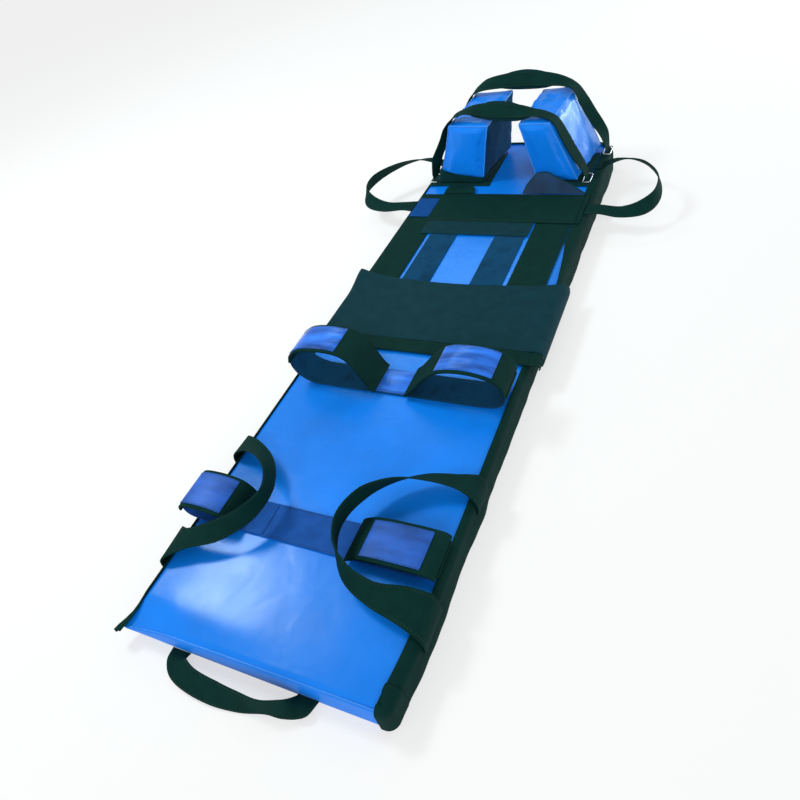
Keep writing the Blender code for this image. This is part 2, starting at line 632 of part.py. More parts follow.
def strap_ring(name, x, at):
    """A rectangular wire ring under the end of a head strap."""
    half_x, half_y = RING_HALF
    corner = 0.004
    curve = bpy.data.curves.new(name, "CURVE")
    curve.dimensions = "3D"
    curve.bevel_depth = RING_WIRE
    curve.bevel_resolution = 1
    points = []
    for sign_x, sign_y, start in ((1, 1, 0), (-1, 1, 90), (-1, -1, 180), (1, -1, 270)):
        for step in range(3):
            angle = math.radians(start + 45 * step)
            points.append((
                x + sign_x * (half_x - corner) + corner * math.cos(angle),
                from_foot(at) + sign_y * (half_y - corner) + corner * math.sin(angle),
                OVER_BORDER + RING_WIRE,
            ))
    spline = curve.splines.new("POLY")
    spline.points.add(len(points) - 1)
    for point, place in zip(spline.points, points):
        point.co = (*place, 1.0)
    spline.use_cyclic_u = True
    obj = bpy.data.objects.new(name, curve)
    bpy.context.scene.collection.objects.link(obj)
    finish(obj, STEEL, 0.3, 1.0)


def head_immobiliser():
    for side in ("left", "right"):
        along = (LOOP_PATCH_FROM, LOOP_PATCH_TO)
        slab(f"loop_patch_{side}", LOOP_PATCHES[side], along, LAID, LAID + BAND, BLACK, roughness=0.9)
        head_block(side)
    head_straps()
    strap_ring("ring_front_left", -0.2465, CHIN_AT)
    strap_ring("ring_rear_left", -0.2465, FOREHEAD_AT)
    strap_ring("ring_front_right", 0.2240, CHIN_AT)
    strap_ring("ring_rear_right", 0.2500, FOREHEAD_AT)


def main():
    for obj in list(bpy.data.objects):
        bpy.data.objects.remove(obj)
    board_layers()
    borders()
    torso_harness()
    waist_belt()
    chest_belt()
    shoulder_tabs()
    leg_restraints()
    ankle_handles()
    shoulder_handles()
    foot_handle()
    head_immobiliser()


main()
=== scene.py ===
"""Looks of a padded rescue stretcher, laid out as a Blender add-on and run as a script.

Every length is in metres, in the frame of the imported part: +Y runs to the head end, and the board lies on
Z = 0. Distances along the board are given from its foot end, as they are measured on the real one.
"""

import json
import math

import bmesh
import bpy
from bpy.props import FloatProperty, FloatVectorProperty, PointerProperty
from bpy.types import Operator, Panel, PropertyGroup
from mathutils import Matrix, Vector, noise
from mathutils.bvhtree import BVHTree
from mathutils.geometry import interpolate_bezier


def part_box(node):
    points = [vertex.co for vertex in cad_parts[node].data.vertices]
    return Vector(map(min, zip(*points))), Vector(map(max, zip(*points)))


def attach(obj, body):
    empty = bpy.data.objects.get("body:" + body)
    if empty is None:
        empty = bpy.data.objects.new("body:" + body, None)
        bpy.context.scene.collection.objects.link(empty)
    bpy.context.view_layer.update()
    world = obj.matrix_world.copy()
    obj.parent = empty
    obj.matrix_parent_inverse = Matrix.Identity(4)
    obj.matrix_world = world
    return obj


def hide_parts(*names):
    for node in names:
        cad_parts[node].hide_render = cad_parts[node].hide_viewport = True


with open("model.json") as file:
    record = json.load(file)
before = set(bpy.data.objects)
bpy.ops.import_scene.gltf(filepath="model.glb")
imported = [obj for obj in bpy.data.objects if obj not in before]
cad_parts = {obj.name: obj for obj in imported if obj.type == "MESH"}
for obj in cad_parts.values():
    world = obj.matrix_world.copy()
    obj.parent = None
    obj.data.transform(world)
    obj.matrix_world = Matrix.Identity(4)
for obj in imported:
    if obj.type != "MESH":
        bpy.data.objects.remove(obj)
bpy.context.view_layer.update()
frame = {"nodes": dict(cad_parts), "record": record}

bl_info = {
    "name": "Rescue Stretcher Looks",
    "version": (1, 0, 0),
    "blender": (4, 5, 0),
    "location": "View3D > Sidebar > Stretcher",
    "description": "Dresses the packed rescue stretcher in its vinyl, webbing, belts, cuffs and head blocks",
    "category": "Add Mesh",
}

BEHAVIOUR = frame["record"]["behaviour"]
BODY_OF = {node: body for body, nodes in BEHAVIOUR["bodies"].items() for node in nodes}
# The lines that the soft pieces turn about, as (across, height)
FOLD_LINES = {
    joint["child"]: (joint["pos_m"][0], joint["pos_m"][2])
    for joint in BEHAVIOUR["joints"] if joint["type"] == "hinge"
}
BOARD_LOW, BOARD_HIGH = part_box("top_cover")
BOARD_TOP = BOARD_HIGH.z

# The photograph's camera, in degrees and metres
CAMERA_PLACE = (0.6071, -1.1536, 1.034)
CAMERA_HEADING, CAMERA_TILT, CAMERA_ROLL = 34.156, 46.924, -16.38
CAMERA_LENS, CAMERA_SENSOR = 29.9, 36.0
FLOOR_HALF, FLOOR_BELOW = 30.0, 0.0003

# Board plan, edge and filling
HEAD_CORNER, FOOT_CORNER = 0.085, 0.014
EDGE_RADIUS, SHEET_EDGE, FOAM_EDGE = 0.012, 0.0006, 0.008
CORNER_STEPS, EDGE_STEPS = 10, 5
COVER_CELL, FOAM_BELOW, FOAM_FIT = 0.015, 0.008, (0.985, 0.996, 1.0)
# The cover breaks sharply past SHARP_ANGLE, and its foot wall is worn, which looks so far to the foot end
SHARP_ANGLE, WORN_FACING = math.radians(60), 0.6
# The right side is drawn in at the foot end, and the left corner there is drawn to a flat point
FOOT_DRAW, FOOT_DRAW_RUN, FOOT_DRAW_SIDE = 0.007, 0.11, (0.20, 0.255)
PINCH_ACROSS, PINCH_ALONG, PINCH_HEIGHT = 0.10, 0.06, 0.032
# How far the cover falls towards the sides, from one distance off its middle to another, and at the foot end
SIDE_FALL, SIDE_RUN = 0.0022, (0.17, 0.265)
FOOT_FALL, FOOT_RUN = 0.0012, 0.07
# The foot edge's seam, whose lighter colour is a painted highlight along the foot end's top edge: half its
# length, then its inset, its depth below the top and its radius
SEAM_HALF, SEAM_INSET, SEAM_BELOW, SEAM_RADIUS = 0.244, 0.003, 0.0048, 0.001

# Edge webbing: where its distances start inside the board's edge, how far the head's laps on the sides' and
# over the top, the lowest that it hangs, and how far each layer's middle lies off the board
EDGE_START, HEAD_LAP, HEAD_REACH, EDGE_GROUND = 0.050, 0.008, 0.017, 0.001
SIDE_LIFT, HEAD_LIFT, FOLD_LIFT = 0.0016, 0.0026, 0.0042
# How far the side edgings run past their nodes, and the spacing and steps of the edgings' points
RIGHT_PAST, LEFT_PAST, EDGING_STEP = 0.004, 0.014, 0.010
HEAD_STEPS, HEAD_STRAIGHT_STEPS, FOLD_STEPS = 24, 30, 12
FOLD_WALL_STEP, FOLD_SIDE_STEP = 0.002, 0.004

# Leg restraints: middle from the foot end, half widths and thicknesses
LEG_AT = {"ankle": 0.257, "knee": 0.656}
STRIP_HALF, CUFF_HALF, CUFF_PATCH_HALF = 0.037, 0.045, 0.038
STRIP_THICK, CUFF_THICK, PATCH_THICK = 0.0026, 0.005, 0.0012

# Leg strips as (across, height), from one fold to the other
LEG_STRIPS = {
    "ankle": (
        (-0.2745, 0.091), (-0.273, 0.081), (-0.264, 0.0715), (-0.245, 0.0665), (-0.225, 0.0633),
        (-0.2, 0.0623), (0.0, 0.0623), (0.195, 0.0623), (0.215, 0.0639), (0.23, 0.065), (0.245, 0.067),
        (0.2535, 0.0754),
    ),
    "knee": (
        (-0.244, 0.1185), (-0.242, 0.103), (-0.233, 0.085), (-0.215, 0.071), (-0.19, 0.0633),
        (-0.16, 0.0623), (0.0, 0.0623), (0.195, 0.0623), (0.215, 0.0639), (0.232, 0.066), (0.248, 0.076),
        (0.255, 0.088), (0.257, 0.1015),
    ),
}

# Cuffs as (across, height), from the fold to the free end, and the shares of that run under the film
CUFFS = {
    "ankle_cuff_left": (
        (
            (-0.2745, 0.0936), (-0.272, 0.104), (-0.262, 0.1115), (-0.238, 0.1148), (-0.208, 0.1135),
            (-0.179, 0.106), (-0.1635, 0.092), (-0.156, 0.078), (-0.1522, 0.0675),
        ),
        (0.1, 0.7),
    ),
    "ankle_cuff_right": (
        (
            (0.2535, 0.078), (0.248, 0.0848), (0.235, 0.088), (0.19, 0.0895), (0.145, 0.0885),
            (0.113, 0.0835), (0.096, 0.0765), (0.082, 0.0675),
        ),
        (0.16, 0.82),
    ),
    "knee_cuff_left": (
        (
            (-0.244, 0.121), (-0.238, 0.139), (-0.215, 0.154), (-0.18, 0.161), (-0.14, 0.162),
            (-0.105, 0.154), (-0.079, 0.133), (-0.062, 0.105), (-0.05, 0.08), (-0.04, 0.068),
        ),
        (0.07, 0.55),
    ),
    "knee_cuff_right": (
        (
            (0.257, 0.104), (0.252, 0.121), (0.235, 0.136), (0.2, 0.147), (0.155, 0.15), (0.115, 0.142),
            (0.085, 0.123), (0.062, 0.098), (0.045, 0.079), (0.031, 0.068),
        ),
        (0.16, 0.62),
    ),
}
# Rolled hems: their clearance, the lap of the tapes that join them, and half their length
HEM_GAP, HEM_LAP, HEM_HALF = 0.0003, 0.006, 0.036
# What the tabs and the films are made of, where film and tape lie across the strips, and how far the cuffs
# lean along the board from one height to another
TAB_CLOTH = {"shoulder_tab_left": "polyester_webbing", "shoulder_tab_right": "pvc_tarpaulin_navy"}
CUFF_FILM = {"knee": "pvc_film_violet", "ankle": "pvc_film_scuffed"}
# Outside KNEE_FILM the knee strip shows bare dark navy pile: painted shade inside the knee cuffs' loops
KNEE_FILM, ANKLE_LAP = (-0.06, 0.05), (-0.2, -0.072)
UPRIGHT = (0.0, 0.0, 1.0)
CUFF_LEAN = {"knee_cuff_left": (0.008, 0.1, 0.15), "knee_cuff_right": (0.008, 0.1, 0.14)}

# Lapped tape and film: how far they lie off the cloth and inside its edges, the lift of the tape's threads,
# and the depth of the film's creases and their count for each metre across, along and up
LAP_LIFT, LAP_INSET, LAP_THREAD_LIFT = 0.0006, 0.001, 0.0008
FILM_LIFT, FILM_INSET = 0.0003, 0.002
CREASE_DEPTH, CREASES = 0.0012, Vector((30.0, 14.0, 9.0))

# Webbing loops as (across, from the foot end, height, half-width direction)
WEB_HALF, WEB_THICK, SLANTED = 0.02, 0.0026, 1.3
LAID = 0.0645
HANDLES = {
    "ankle_handle_right": (
        (0.268, 0.152, 0.031, (0, 1.9, 0)), (0.269, 0.152, 0.056, (0, 1.9, 0)),
        (0.258, 0.153, 0.078, (0, 1.9, 0.1)), (0.22, 0.156, 0.088, (0, 1.5, 0.3)),
        (0.165, 0.157, 0.095, (0.2, 0.8, 0.6)), (0.112, 0.176, 0.102, (0.2, 0.4, 0.9)),
        (0.074, 0.216, 0.108, (0, 0.1, 1)), (0.058, 0.268, 0.11, (0, 0, 1)),
        (0.074, 0.328, 0.108, (0, -0.1, 1)), (0.115, 0.374, 0.102, (0.2, -0.4, 0.9)),
        (0.17, 0.401, 0.094, (0.2, -0.8, 0.6)), (0.225, 0.411, 0.086, (0, -1, 0.3)),
        (0.259, 0.413, 0.077, (0, -1.4, 0.1)), (0.269, 0.413, 0.056, (0, -1.4, 0)),
        (0.268, 0.413, 0.031, (0, -1.4, 0)),
    ),
    "ankle_handle_left": (
        (-0.268, 0.151, 0.031, (0, 1.8, 0)), (-0.269, 0.151, 0.056, (0, 1.8, 0)),
        (-0.258, 0.153, 0.078, (0, 1.8, 0.1)), (-0.222, 0.163, 0.092, (-0.2, 1, 0.3)),
        (-0.17, 0.184, 0.103, (-0.2, 0.7, 0.7)), (-0.124, 0.222, 0.114, (-0.1, 0.3, 0.95)),
        (-0.106, 0.27, 0.117, (0, 0, 1)), (-0.121, 0.318, 0.115, (-0.1, -0.3, 0.95)),
        (-0.164, 0.364, 0.107, (-0.2, -0.7, 0.7)), (-0.216, 0.392, 0.095, (-0.1, -1, 0.3)),
        (-0.257, 0.402, 0.078, (0, -1.4, 0.1)), (-0.269, 0.403, 0.056, (0, -1.4, 0)),
        (-0.268, 0.403, 0.031, (0, -1.4, 0)),
    ),
    "shoulder_handle_left": (
        (-0.2535, 1.386, LAID, (0, 1.4, 0)), (-0.29, 1.384, 0.0655, (0, 1, 0.1)),
        (-0.35, 1.382, 0.063, (0.2, 1, 0.25)), (-0.41, 1.404, 0.066, (0.45, 0.6, 0.6)),
        (-0.448, 1.452, 0.074, (0.3, 0.1, 1)), (-0.442, 1.512, 0.084, (0.3, -0.1, 1)),
        (-0.395, 1.575, 0.092, (0.4, -0.5, 0.8)), (-0.335, 1.622, 0.092, (0.3, -0.85, 0.5)),
        (-0.285, 1.646, 0.079, (0, -1, 0.15)), (-0.2535, 1.652, LAID, (0, -1, 0)),
    ),
    "shoulder_handle_right": (
        (0.2535, 1.386, LAID, (0, 1.4, 0)), (0.29, 1.385, 0.065, (0, 1, 0.1)),
        (0.345, 1.379, 0.062, (-0.2, 1, 0.25)), (0.395, 1.398, 0.064, (-0.45, 0.6, 0.6)),
        (0.426, 1.452, 0.07, (-0.3, 0.1, 1)), (0.422, 1.52, 0.082, (-0.3, -0.1, 1)),
        (0.383, 1.58, 0.092, (-0.4, -0.5, 0.8)), (0.332, 1.612, 0.092, (-0.3, -0.85, 0.5)),
        (0.285, 1.627, 0.079, (0, -1, 0.15)), (0.2535, 1.632, LAID, (0, -1, 0)),
    ),
    "foot_handle": (
        (-0.157, -0.001, 0.008, (1, 0, 0)), (-0.156, -0.016, 0.009, (1, 0.1, 0.1)),
        (-0.142, -0.031, 0.0125, (0.75, 0.6, 0.3)), (-0.105, -0.043, 0.015, (0.3, 0.85, 0.5)),
        (-0.05, -0.048, 0.016, (0, 0.8, 0.6)), (0.0000, -0.047, 0.0185, (0, 0.5, 0.85)),
        (0.045, -0.042, 0.022, (-0.1, 0.15, 1)), (0.08, -0.033, 0.0195, (-0.4, 0.15, 0.8)),
        (0.101, -0.018, 0.012, (-0.85, 0.1, 0.1)), (0.105, -0.001, 0.008, (-1, 0, 0)),
    ),
}

# Waist belt: its run across the board as (across, height), and its ends along the board
WAIST_BELT = (
    (-0.2695, 0.053), (-0.2702, 0.06), (-0.264, 0.0661), (-0.24, 0.0646), (0.0, 0.0646), (0.24, 0.0646),
    (0.268, 0.0656), (0.284, 0.059), (0.287, 0.044), (0.281, 0.025),
)
WAIST_SPAN = (0.796, 1.035)
# Its cloth: half its run across, how far its free end draws in, its ripples' depth and its clearance
BELT_REACH, BELT_END_DRAW, BELT_RIPPLE, BELT_CLEAR = 0.28, 0.016, 0.0008, 0.0004
# The lower hem's ends, folded over the edges: (across, height, how far its lower edge draws up)
WAIST_HEM_FOLDS = {
    "right": (
        (0.2624, 0.0646, 0.0), (0.271, 0.0646, 0.0005), (0.2815, 0.06, 0.0025), (0.285, 0.048, 0.006),
        (0.28, 0.034, 0.01),
    ),
    "left": (
        (-0.2504, 0.0648, 0.0), (-0.264, 0.0661, 0.0005), (-0.2702, 0.06, 0.0015),
        (-0.2697, 0.053, 0.0025),
    ),
}

# Shoulder tabs as (across, from the foot end, height, half width)
SHOULDER_TABS = {
    "shoulder_tab_left": (
        (-0.138, 1.464, 0.064, 0.048), (-0.139, 1.482, 0.069, 0.045), (-0.141, 1.498, 0.069, 0.036),
        (-0.142, 1.508, 0.066, 0.02),
    ),
    "shoulder_tab_right": (
        (0.148, 1.464, 0.065, 0.092), (0.132, 1.48, 0.083, 0.066), (0.118, 1.494, 0.099, 0.036),
        (0.111, 1.504, 0.109, 0.012),
    ),
}

# Head blocks: front and rear section, each base outer and inner, top outer and inner, as (across, height)
BLOCK_SPAN = (1.53, 1.75)
BLOCK_BASE = 0.0647
BLOCKS = {
    "left": (
        ((-0.228, BLOCK_BASE), (-0.082, BLOCK_BASE), (-0.17, 0.243), (-0.049, 0.236)),
        ((-0.226, BLOCK_BASE), (-0.055, BLOCK_BASE), (-0.151, 0.25), (-0.031, 0.252)),
    ),
    "right": (
        ((0.205, BLOCK_BASE), (0.082, BLOCK_BASE), (0.127, 0.241), (0.034, 0.24)),
        ((0.232, BLOCK_BASE), (0.085, BLOCK_BASE), (0.156, 0.252), (0.057, 0.251)),
    ),
}

# Their covers: the fit before the stuffing swells them, the cells, the swelling, and the wrinkles' depth and
# their count for each metre across, along and up
BLOCK_FIT, BLOCK_CELL, BLOCK_SWELL = 0.985, 0.005, 0.003
WRINKLE_DEPTH, WRINKLES = 0.0018, Vector((38.0, 30.0, 7.0))
# A cover's face is drawn in dark navy pile, painted shade of the gap between the blocks, where it lies so
# near the inner side and looks so far that way
INNER_SHADE_NEAR, INNER_SHADE_FACING = 0.0045, 0.55
# Piping: its radius, the spacing of its points, how far it stands off, and its lower end as in block_place
PIPING_RADIUS, PIPING_STEP, PIPING_LIFT, PIPING_END = 0.0019, 0.006, 0.0006, -0.97

# Binding round the left block's foot: (outwards, along) on its plan and its upper edge, as in block_place
FOOT_BAND = (
    (-1, 0.6, -0.9), (-1, -0.9, -0.8), (-0.9, -1, -0.8), (-0.4, -1, -0.76), (0.1, -1, -0.7),
    (0.5, -1, -0.62), (0.9, -1, -0.52), (1, -0.9, -0.52), (1, 0, -0.6), (1, 0.9, -0.7),
)
# Its clearance outwards and along as shares of the block, and its lower edge
BAND_OUT, BAND_ALONG, BAND_FOOT = 1.03, 1.02, -0.99

# Head straps: place along the board, then (across, height, share of the tilt, lean), and the pad's ends
STRAP_TILT = math.radians(62)
HEAD_STRAPS = {
    "chin": (
        1.555,
        (
            (-0.246, 0.0705, 0.0, 0.0), (-0.243, 0.088, 0.0, 0.3), (-0.23, 0.134, 0.0, 0.8),
            (-0.2125, 0.164, 0.0, 0.8), (-0.1965, 0.1955, 0.0, 0.5), (-0.182, 0.229, 0.0, 0.3),
            (-0.159, 0.256, 0.0, 0.0), (-0.124, 0.271, 0.0, 0.0), (-0.095, 0.2745, 0.3, 0.0),
            (-0.05, 0.272, 0.9, 0.0), (0.005, 0.268, 0.9, 0.0), (0.045, 0.264, 0.5, 0.0),
            (0.078, 0.26, 0.1, 0.0), (0.112, 0.253, 0.0, 0.0), (0.14, 0.236, 0.0, 0.1),
            (0.161, 0.1963, 0.0, 0.3), (0.1775, 0.1627, 0.0, 0.3), (0.196, 0.1285, 0.0, 0.3),
            (0.214, 0.098, 0.0, 0.1), (0.224, 0.0705, 0.0, 0.0),
        ),
        (-0.112, 0.08),
    ),
    "forehead": (
        1.722,
        (
            (-0.246, 0.0705, 0.0, 0.0), (-0.241, 0.087, 0.0, 0.1), (-0.213, 0.145, 0.0, 0.2),
            (-0.181, 0.2059, 0.0, 0.2), (-0.1685, 0.231, 0.0, 0.1), (-0.154, 0.2525, 0.0, 0.0),
            (-0.133, 0.268, 0.2, 0.0), (-0.105, 0.279, 0.5, 0.0), (-0.045, 0.286, 1.0, 0.0),
            (0.015, 0.288, 1.0, 0.0), (0.075, 0.284, 0.8, 0.0), (0.125, 0.275, 0.3, 0.0),
            (0.1585, 0.2575, 0.0, 0.2), (0.181, 0.2193, 0.0, 0.6), (0.2015, 0.1813, 0.0, 0.8),
            (0.2225, 0.1465, 0.0, 0.8), (0.24, 0.115, 0.0, 0.4), (0.25, 0.0705, 0.0, 0.0),
        ),
        (-0.085, 0.11),
    ),
}
PAD_GAP, PAD_THICK = 0.0025, 0.008
# How round a pad's section is, and how much wider it is than the webbing
PAD_ROUND, PAD_WIDER = 0.6, 1.35

# Cloths as (rows of points across, thickness, edge rounding, steps of that rounding)
EDGING_MAKE = (16, 0.0018, 0.0005, 2)
BELT_MAKE = (25, 0.0028, 0.0012, 3)
HEM_FOLD_MAKE = (9, 0.0028, 0.0008, 3)
TAB_MAKE = (17, 0.0036, 0.0015, 3)
STRIP_MAKE = (9, STRIP_THICK, 0.0007, 2)
LAP_MAKE = (9, 0.0012, 0.0004, 2)
STRIP_FILM_MAKE = (9, PATCH_THICK, 0.0004, 2)
CUFF_MAKE = (11, CUFF_THICK, 0.0018, 3)
WINDOW_MAKE = (15, PATCH_THICK, 0.0004, 2)
WEB_MAKE = (7, WEB_THICK, 0.0006, 2)
BAND_MAKE = (4, 0.002, 0.0005, 2)
# Spacing of a laid strip's points, its small waves for each metre, and how far threads lie off the cloth
LAID_STEP, RIPPLES, THREAD_LIFT = 0.012, 17.0, 0.0001
# Where a strip is stitched, as shares of its half width
STRIP_SEAMS, WEB_SEAMS, WINDOW_SEAMS = (-0.93, 0.93), (-0.85, 0.85), (-0.95, 0.95)
RIM_RADIUS, RING_CORNER = 0.0024, 0.004
EDGE_ANGLE = math.radians(50)


def linear(hex_colour):
    """An sRGB hex colour as linear red, green and blue."""
    shares = [int(hex_colour[i:i + 2], 16) / 255 for i in (1, 3, 5)]
    return tuple(s / 12.92 if s <= 0.04045 else ((s + 0.055) / 1.055) ** 2.4 for s in shares)


def colour_property(name, description, hex_colour):
    return FloatVectorProperty(
        name=name, description=description, default=linear(hex_colour), subtype="COLOR", min=0.0, max=1.0
    )


def length_property(name, description, default):
    return FloatProperty(
        name=name, description=description, default=default, min=0.0, unit="LENGTH", precision=5
    )


class StretcherColours(PropertyGroup):
    """Colours of the stretcher's materials."""

    vinyl: colour_property("Vinyl", "Cover of the board and the head blocks", "#0b7cea")
    navy: colour_property("Navy vinyl", "Cloth of the right shoulder tab", "#052c4c")
    patch: colour_property("Patch", "Patch over the left shoulder handle's end", "#0c4688")
    # The piping is lighter than the vinyl as a painted highlight along the head blocks' edges and the foot
    # end's top edge
    piping_highlight: colour_property("Piping", "Welted seams of the head blocks and the foot end", "#3b8eee")
    film: colour_property("Film", "Film on the leg cuffs and the knee strip", "#1f5cbe")
    webbing: colour_property("Webbing", "Handles, edging, bands, cuffs, chest belt, head straps", "#062c28")
    belt: colour_property("Belt cloth", "Waist belt, chest hook strip, tab rims and strap pads", "#0a333c")
    # This navy is the loop strips' own colour; on the knee strip outside its film and on the blocks' inner
    # sides it is painted shade
    pile: colour_property("Loop pile", "Loop strips, knee strip and the blocks' inner sides", "#083a5a")
    tape: colour_property("Ankle tape", "Strip across the board at the ankles", "#1a509f")
    hook: colour_property("Hook tape", "Tape that holds the head blocks down", "#062b2c")
    thread: colour_property("Thread", "Stitching", "#0a2b26")
    foam: colour_property("Foam", "Filling of the board", "#d8d2bd")
    floor: colour_property("Floor", "Studio floor", "#f4f4f4")


class StretcherSizes(PropertyGroup):
    """Sizes that the looks depend on. Weaves are drawn coarser than the real ones, so that they show."""

    rib: length_property("Webbing rib", "Spacing of the webbing's ribs, twice the real one", 0.003)
    scrim: length_property("Scrim", "Spacing of the vinyl's threads, three times the real one", 0.003)
    weave: length_property("Belt weave", "Spacing of the belt cloth's threads, twice the real one", 0.0016)
    stitch: length_property("Stitch", "Length of one stitch with its gap", 0.0065)
    thread: length_property("Thread", "Thickness of the sewing thread", 0.001)
    cover_wave: length_property("Cover wave", "How far the vinyl cover waves out of flat", 0.0007)
    corner_pull: length_property("Corner pull", "How far the cover's left foot corner is drawn out", 0.026)
    edging_wave: length_property("Edging wave", "How far the edge webbing waves out sideways", 0.0038)
    belt_bow: length_property("Belt bow", "How far the waist belt's upper hem sags", 0.017)
    corner_lift: length_property("Corner lift", "How far the waist belt's free corner stands up", 0.01)


def sizes():
    return bpy.context.scene.stretcher_sizes


def colours():
    return bpy.context.scene.stretcher_colours


def from_foot(distance):
    """A distance from the foot end as a Y coordinate."""
    return BOARD_LOW.y + distance


def ease(value, low, high):
    """0 below low, 1 above high, and a smooth slope between."""
    share = min(max((value - low) / (high - low), 0.0), 1.0)
    return share * share * (3 - 2 * share)


# Materials


def plug(tree, node, inputs):
    """Sets a node's sockets, each to a value, to another node's socket or to another node's first one."""
    for name, value in inputs.items():
        if isinstance(value, bpy.types.Node):
            value = value.outputs[0]
        if isinstance(value, bpy.types.NodeSocket):
            tree.links.new(value, node.inputs[name])
        else:
            node.inputs[name].default_value = value


def add_node(tree, kind, inputs=None, stops=(), **settings):
    """Adds a node: inputs are its sockets, stops a ramp's places and colours, and settings its properties."""
    made = tree.nodes.new("ShaderNode" + kind)
    for name, value in settings.items():
        setattr(made, name, value)
    for i, (position, colour) in enumerate(stops):
        made.color_ramp.elements[i].position = position
        made.color_ramp.elements[i].color = colour
    plug(tree, made, inputs or {})
    return made


def new_material(name, coordinates="Object"):
    """A new material, its tree, its bare Principled shader and the coordinates that its patterns read."""
    finish = bpy.data.materials.new(name)
    finish.use_nodes = True
    tree = finish.node_tree
    place = add_node(tree, "TexCoord").outputs[coordinates]
    return finish, tree, tree.nodes["Principled BSDF"], place


def bands(spacing):
    """A Wave texture's scale for bands so far apart, because it turns 20 radians for each unit."""
    return 2 * math.pi / (20 * spacing)


def shaded(colour, share):
    """A colour scaled in brightness, with alpha."""
    return (*(min(c * share, 1.0) for c in colour), 1.0)


def tarpaulin(name, colour, roughness, crease, tone_and_sheen=(0.86, 1.10), grain=(6.0, 6.0, 6.0), dent=22.0):
    """Coated PVC tarpaulin: film over a woven scrim, so a wet-looking gloss that the scrim roughens."""
    finish, tree, shader, place = new_material(name)
    drawn = add_node(tree, "Mapping", {"Vector": place, "Scale": grain})
    cloud = add_node(tree, "TexNoise", {"Vector": drawn, "Scale": 1.0, "Detail": 3.0})
    # The tint's range is a random tone; where it is wide, as on the knee film, it is also painted reflection
    # streaks
    tint = add_node(tree, "ValToRGB", {"Fac": cloud}, (
        (0.30, shaded(colour, tone_and_sheen[0])), (0.72, shaded(colour, tone_and_sheen[1])),
    ))
    rub = add_node(tree, "TexNoise", {"Vector": place, "Scale": 14.0, "Detail": 5.0})
    gloss = add_node(tree, "MapRange", {
        "Value": rub, "To Min": roughness - 0.06, "To Max": roughness + 0.10,
    })
    spread = {"Vector": place, "Scale": bands(sizes().scrim)}
    warp, weft = (add_node(tree, "TexWave", spread, bands_direction=way) for way in "XY")
    scrim = add_node(tree, "Math", {0: warp.outputs["Fac"], 1: weft.outputs["Fac"]}, operation="ADD")
    threads = add_node(tree, "Bump", {"Height": scrim, "Strength": 0.10, "Distance": 0.0002})
    dents = add_node(tree, "TexNoise", {"Vector": place, "Scale": dent, "Detail": 2.0, "Distortion": 0.6})
    folds = add_node(tree, "Bump", {
        "Height": dents, "Strength": 0.5, "Distance": crease, "Normal": threads,
    })
    plug(tree, shader, {
        "Base Color": tint, "Roughness": gloss, "IOR": 1.53, "Specular IOR Level": 0.22, "Normal": folds,
    })
    return finish


def woven(name, colour, across, along, roughness):
    """Woven polyester or nylon: ribs along the strap and picks across it, dull, with painted shade darkening
    the grooves.
    """
    finish, tree, shader, place = new_material(name, "UV")
    ribs, picks = (
        add_node(tree, "TexWave", {
            "Vector": place, "Scale": bands(spacing), "Distortion": 0.3, "Detail": 1.0,
        }, bands_direction=way)
        for spacing, way in ((across, "X"), (along, "Y"))
    )
    height = add_node(tree, "Math", {
        0: ribs.outputs["Fac"], 1: picks.outputs["Fac"],
    }, operation="MULTIPLY")
    wear = add_node(tree, "TexNoise", {"Vector": place, "Scale": 30.0, "Detail": 4.0})
    mixed = add_node(tree, "Math", {0: height, 1: wear}, operation="ADD")
    # The tint follows the weave's height, painted shade in the grooves, plus a random tone from the wear
    # noise
    tint = add_node(tree, "ValToRGB", {"Fac": mixed}, (
        (0.35, shaded(colour, 0.72)), (1.0, shaded(colour, 1.25)),
    ))
    bump = add_node(tree, "Bump", {"Height": height, "Strength": 0.5, "Distance": 0.0005})
    plug(tree, shader, {
        "Base Color": tint, "Roughness": roughness, "Specular IOR Level": 0.06, "Normal": bump,
    })
    return finish


def pile(name, colour):
    """Brushed loop pile: a dull nap of small loops, about a millimetre each, lighter at grazing angles."""
    finish, tree, shader, place = new_material(name)
    loops = add_node(tree, "TexNoise", {"Vector": place, "Scale": 420.0, "Detail": 3.0})
    patches = add_node(tree, "TexNoise", {"Vector": place, "Scale": 25.0, "Detail": 2.0})
    nap = add_node(tree, "Math", {0: loops, 1: patches}, operation="ADD")
    tint = add_node(tree, "ValToRGB", {"Fac": nap}, (
        (0.75, shaded(colour, 0.75)), (1.0, shaded(colour, 1.25)),
    ))
    bump = add_node(tree, "Bump", {"Height": loops, "Strength": 0.6, "Distance": 0.0008})
    plug(tree, shader, {
        "Base Color": tint, "Roughness": 0.9, "Specular IOR Level": 0.05, "Sheen Weight": 0.02,
        "Normal": bump,
    })
    return finish


def foam_material(name):
    """Open-cell polyether foam: matt, with cells of about a millimetre that hold shade."""
    finish, tree, shader, place = new_material(name)
    cells = add_node(tree, "TexVoronoi", {"Vector": place, "Scale": 600.0})
    tint = add_node(tree, "ValToRGB", {"Fac": cells}, (
        (0.0, shaded(colours().foam, 0.7)), (1.0, shaded(colours().foam, 1.0)),
    ))
    bump = add_node(tree, "Bump", {"Height": cells, "Distance": 0.0006})
    plug(tree, shader, {"Base Color": tint, "Roughness": 0.95, "Normal": bump})
    return finish


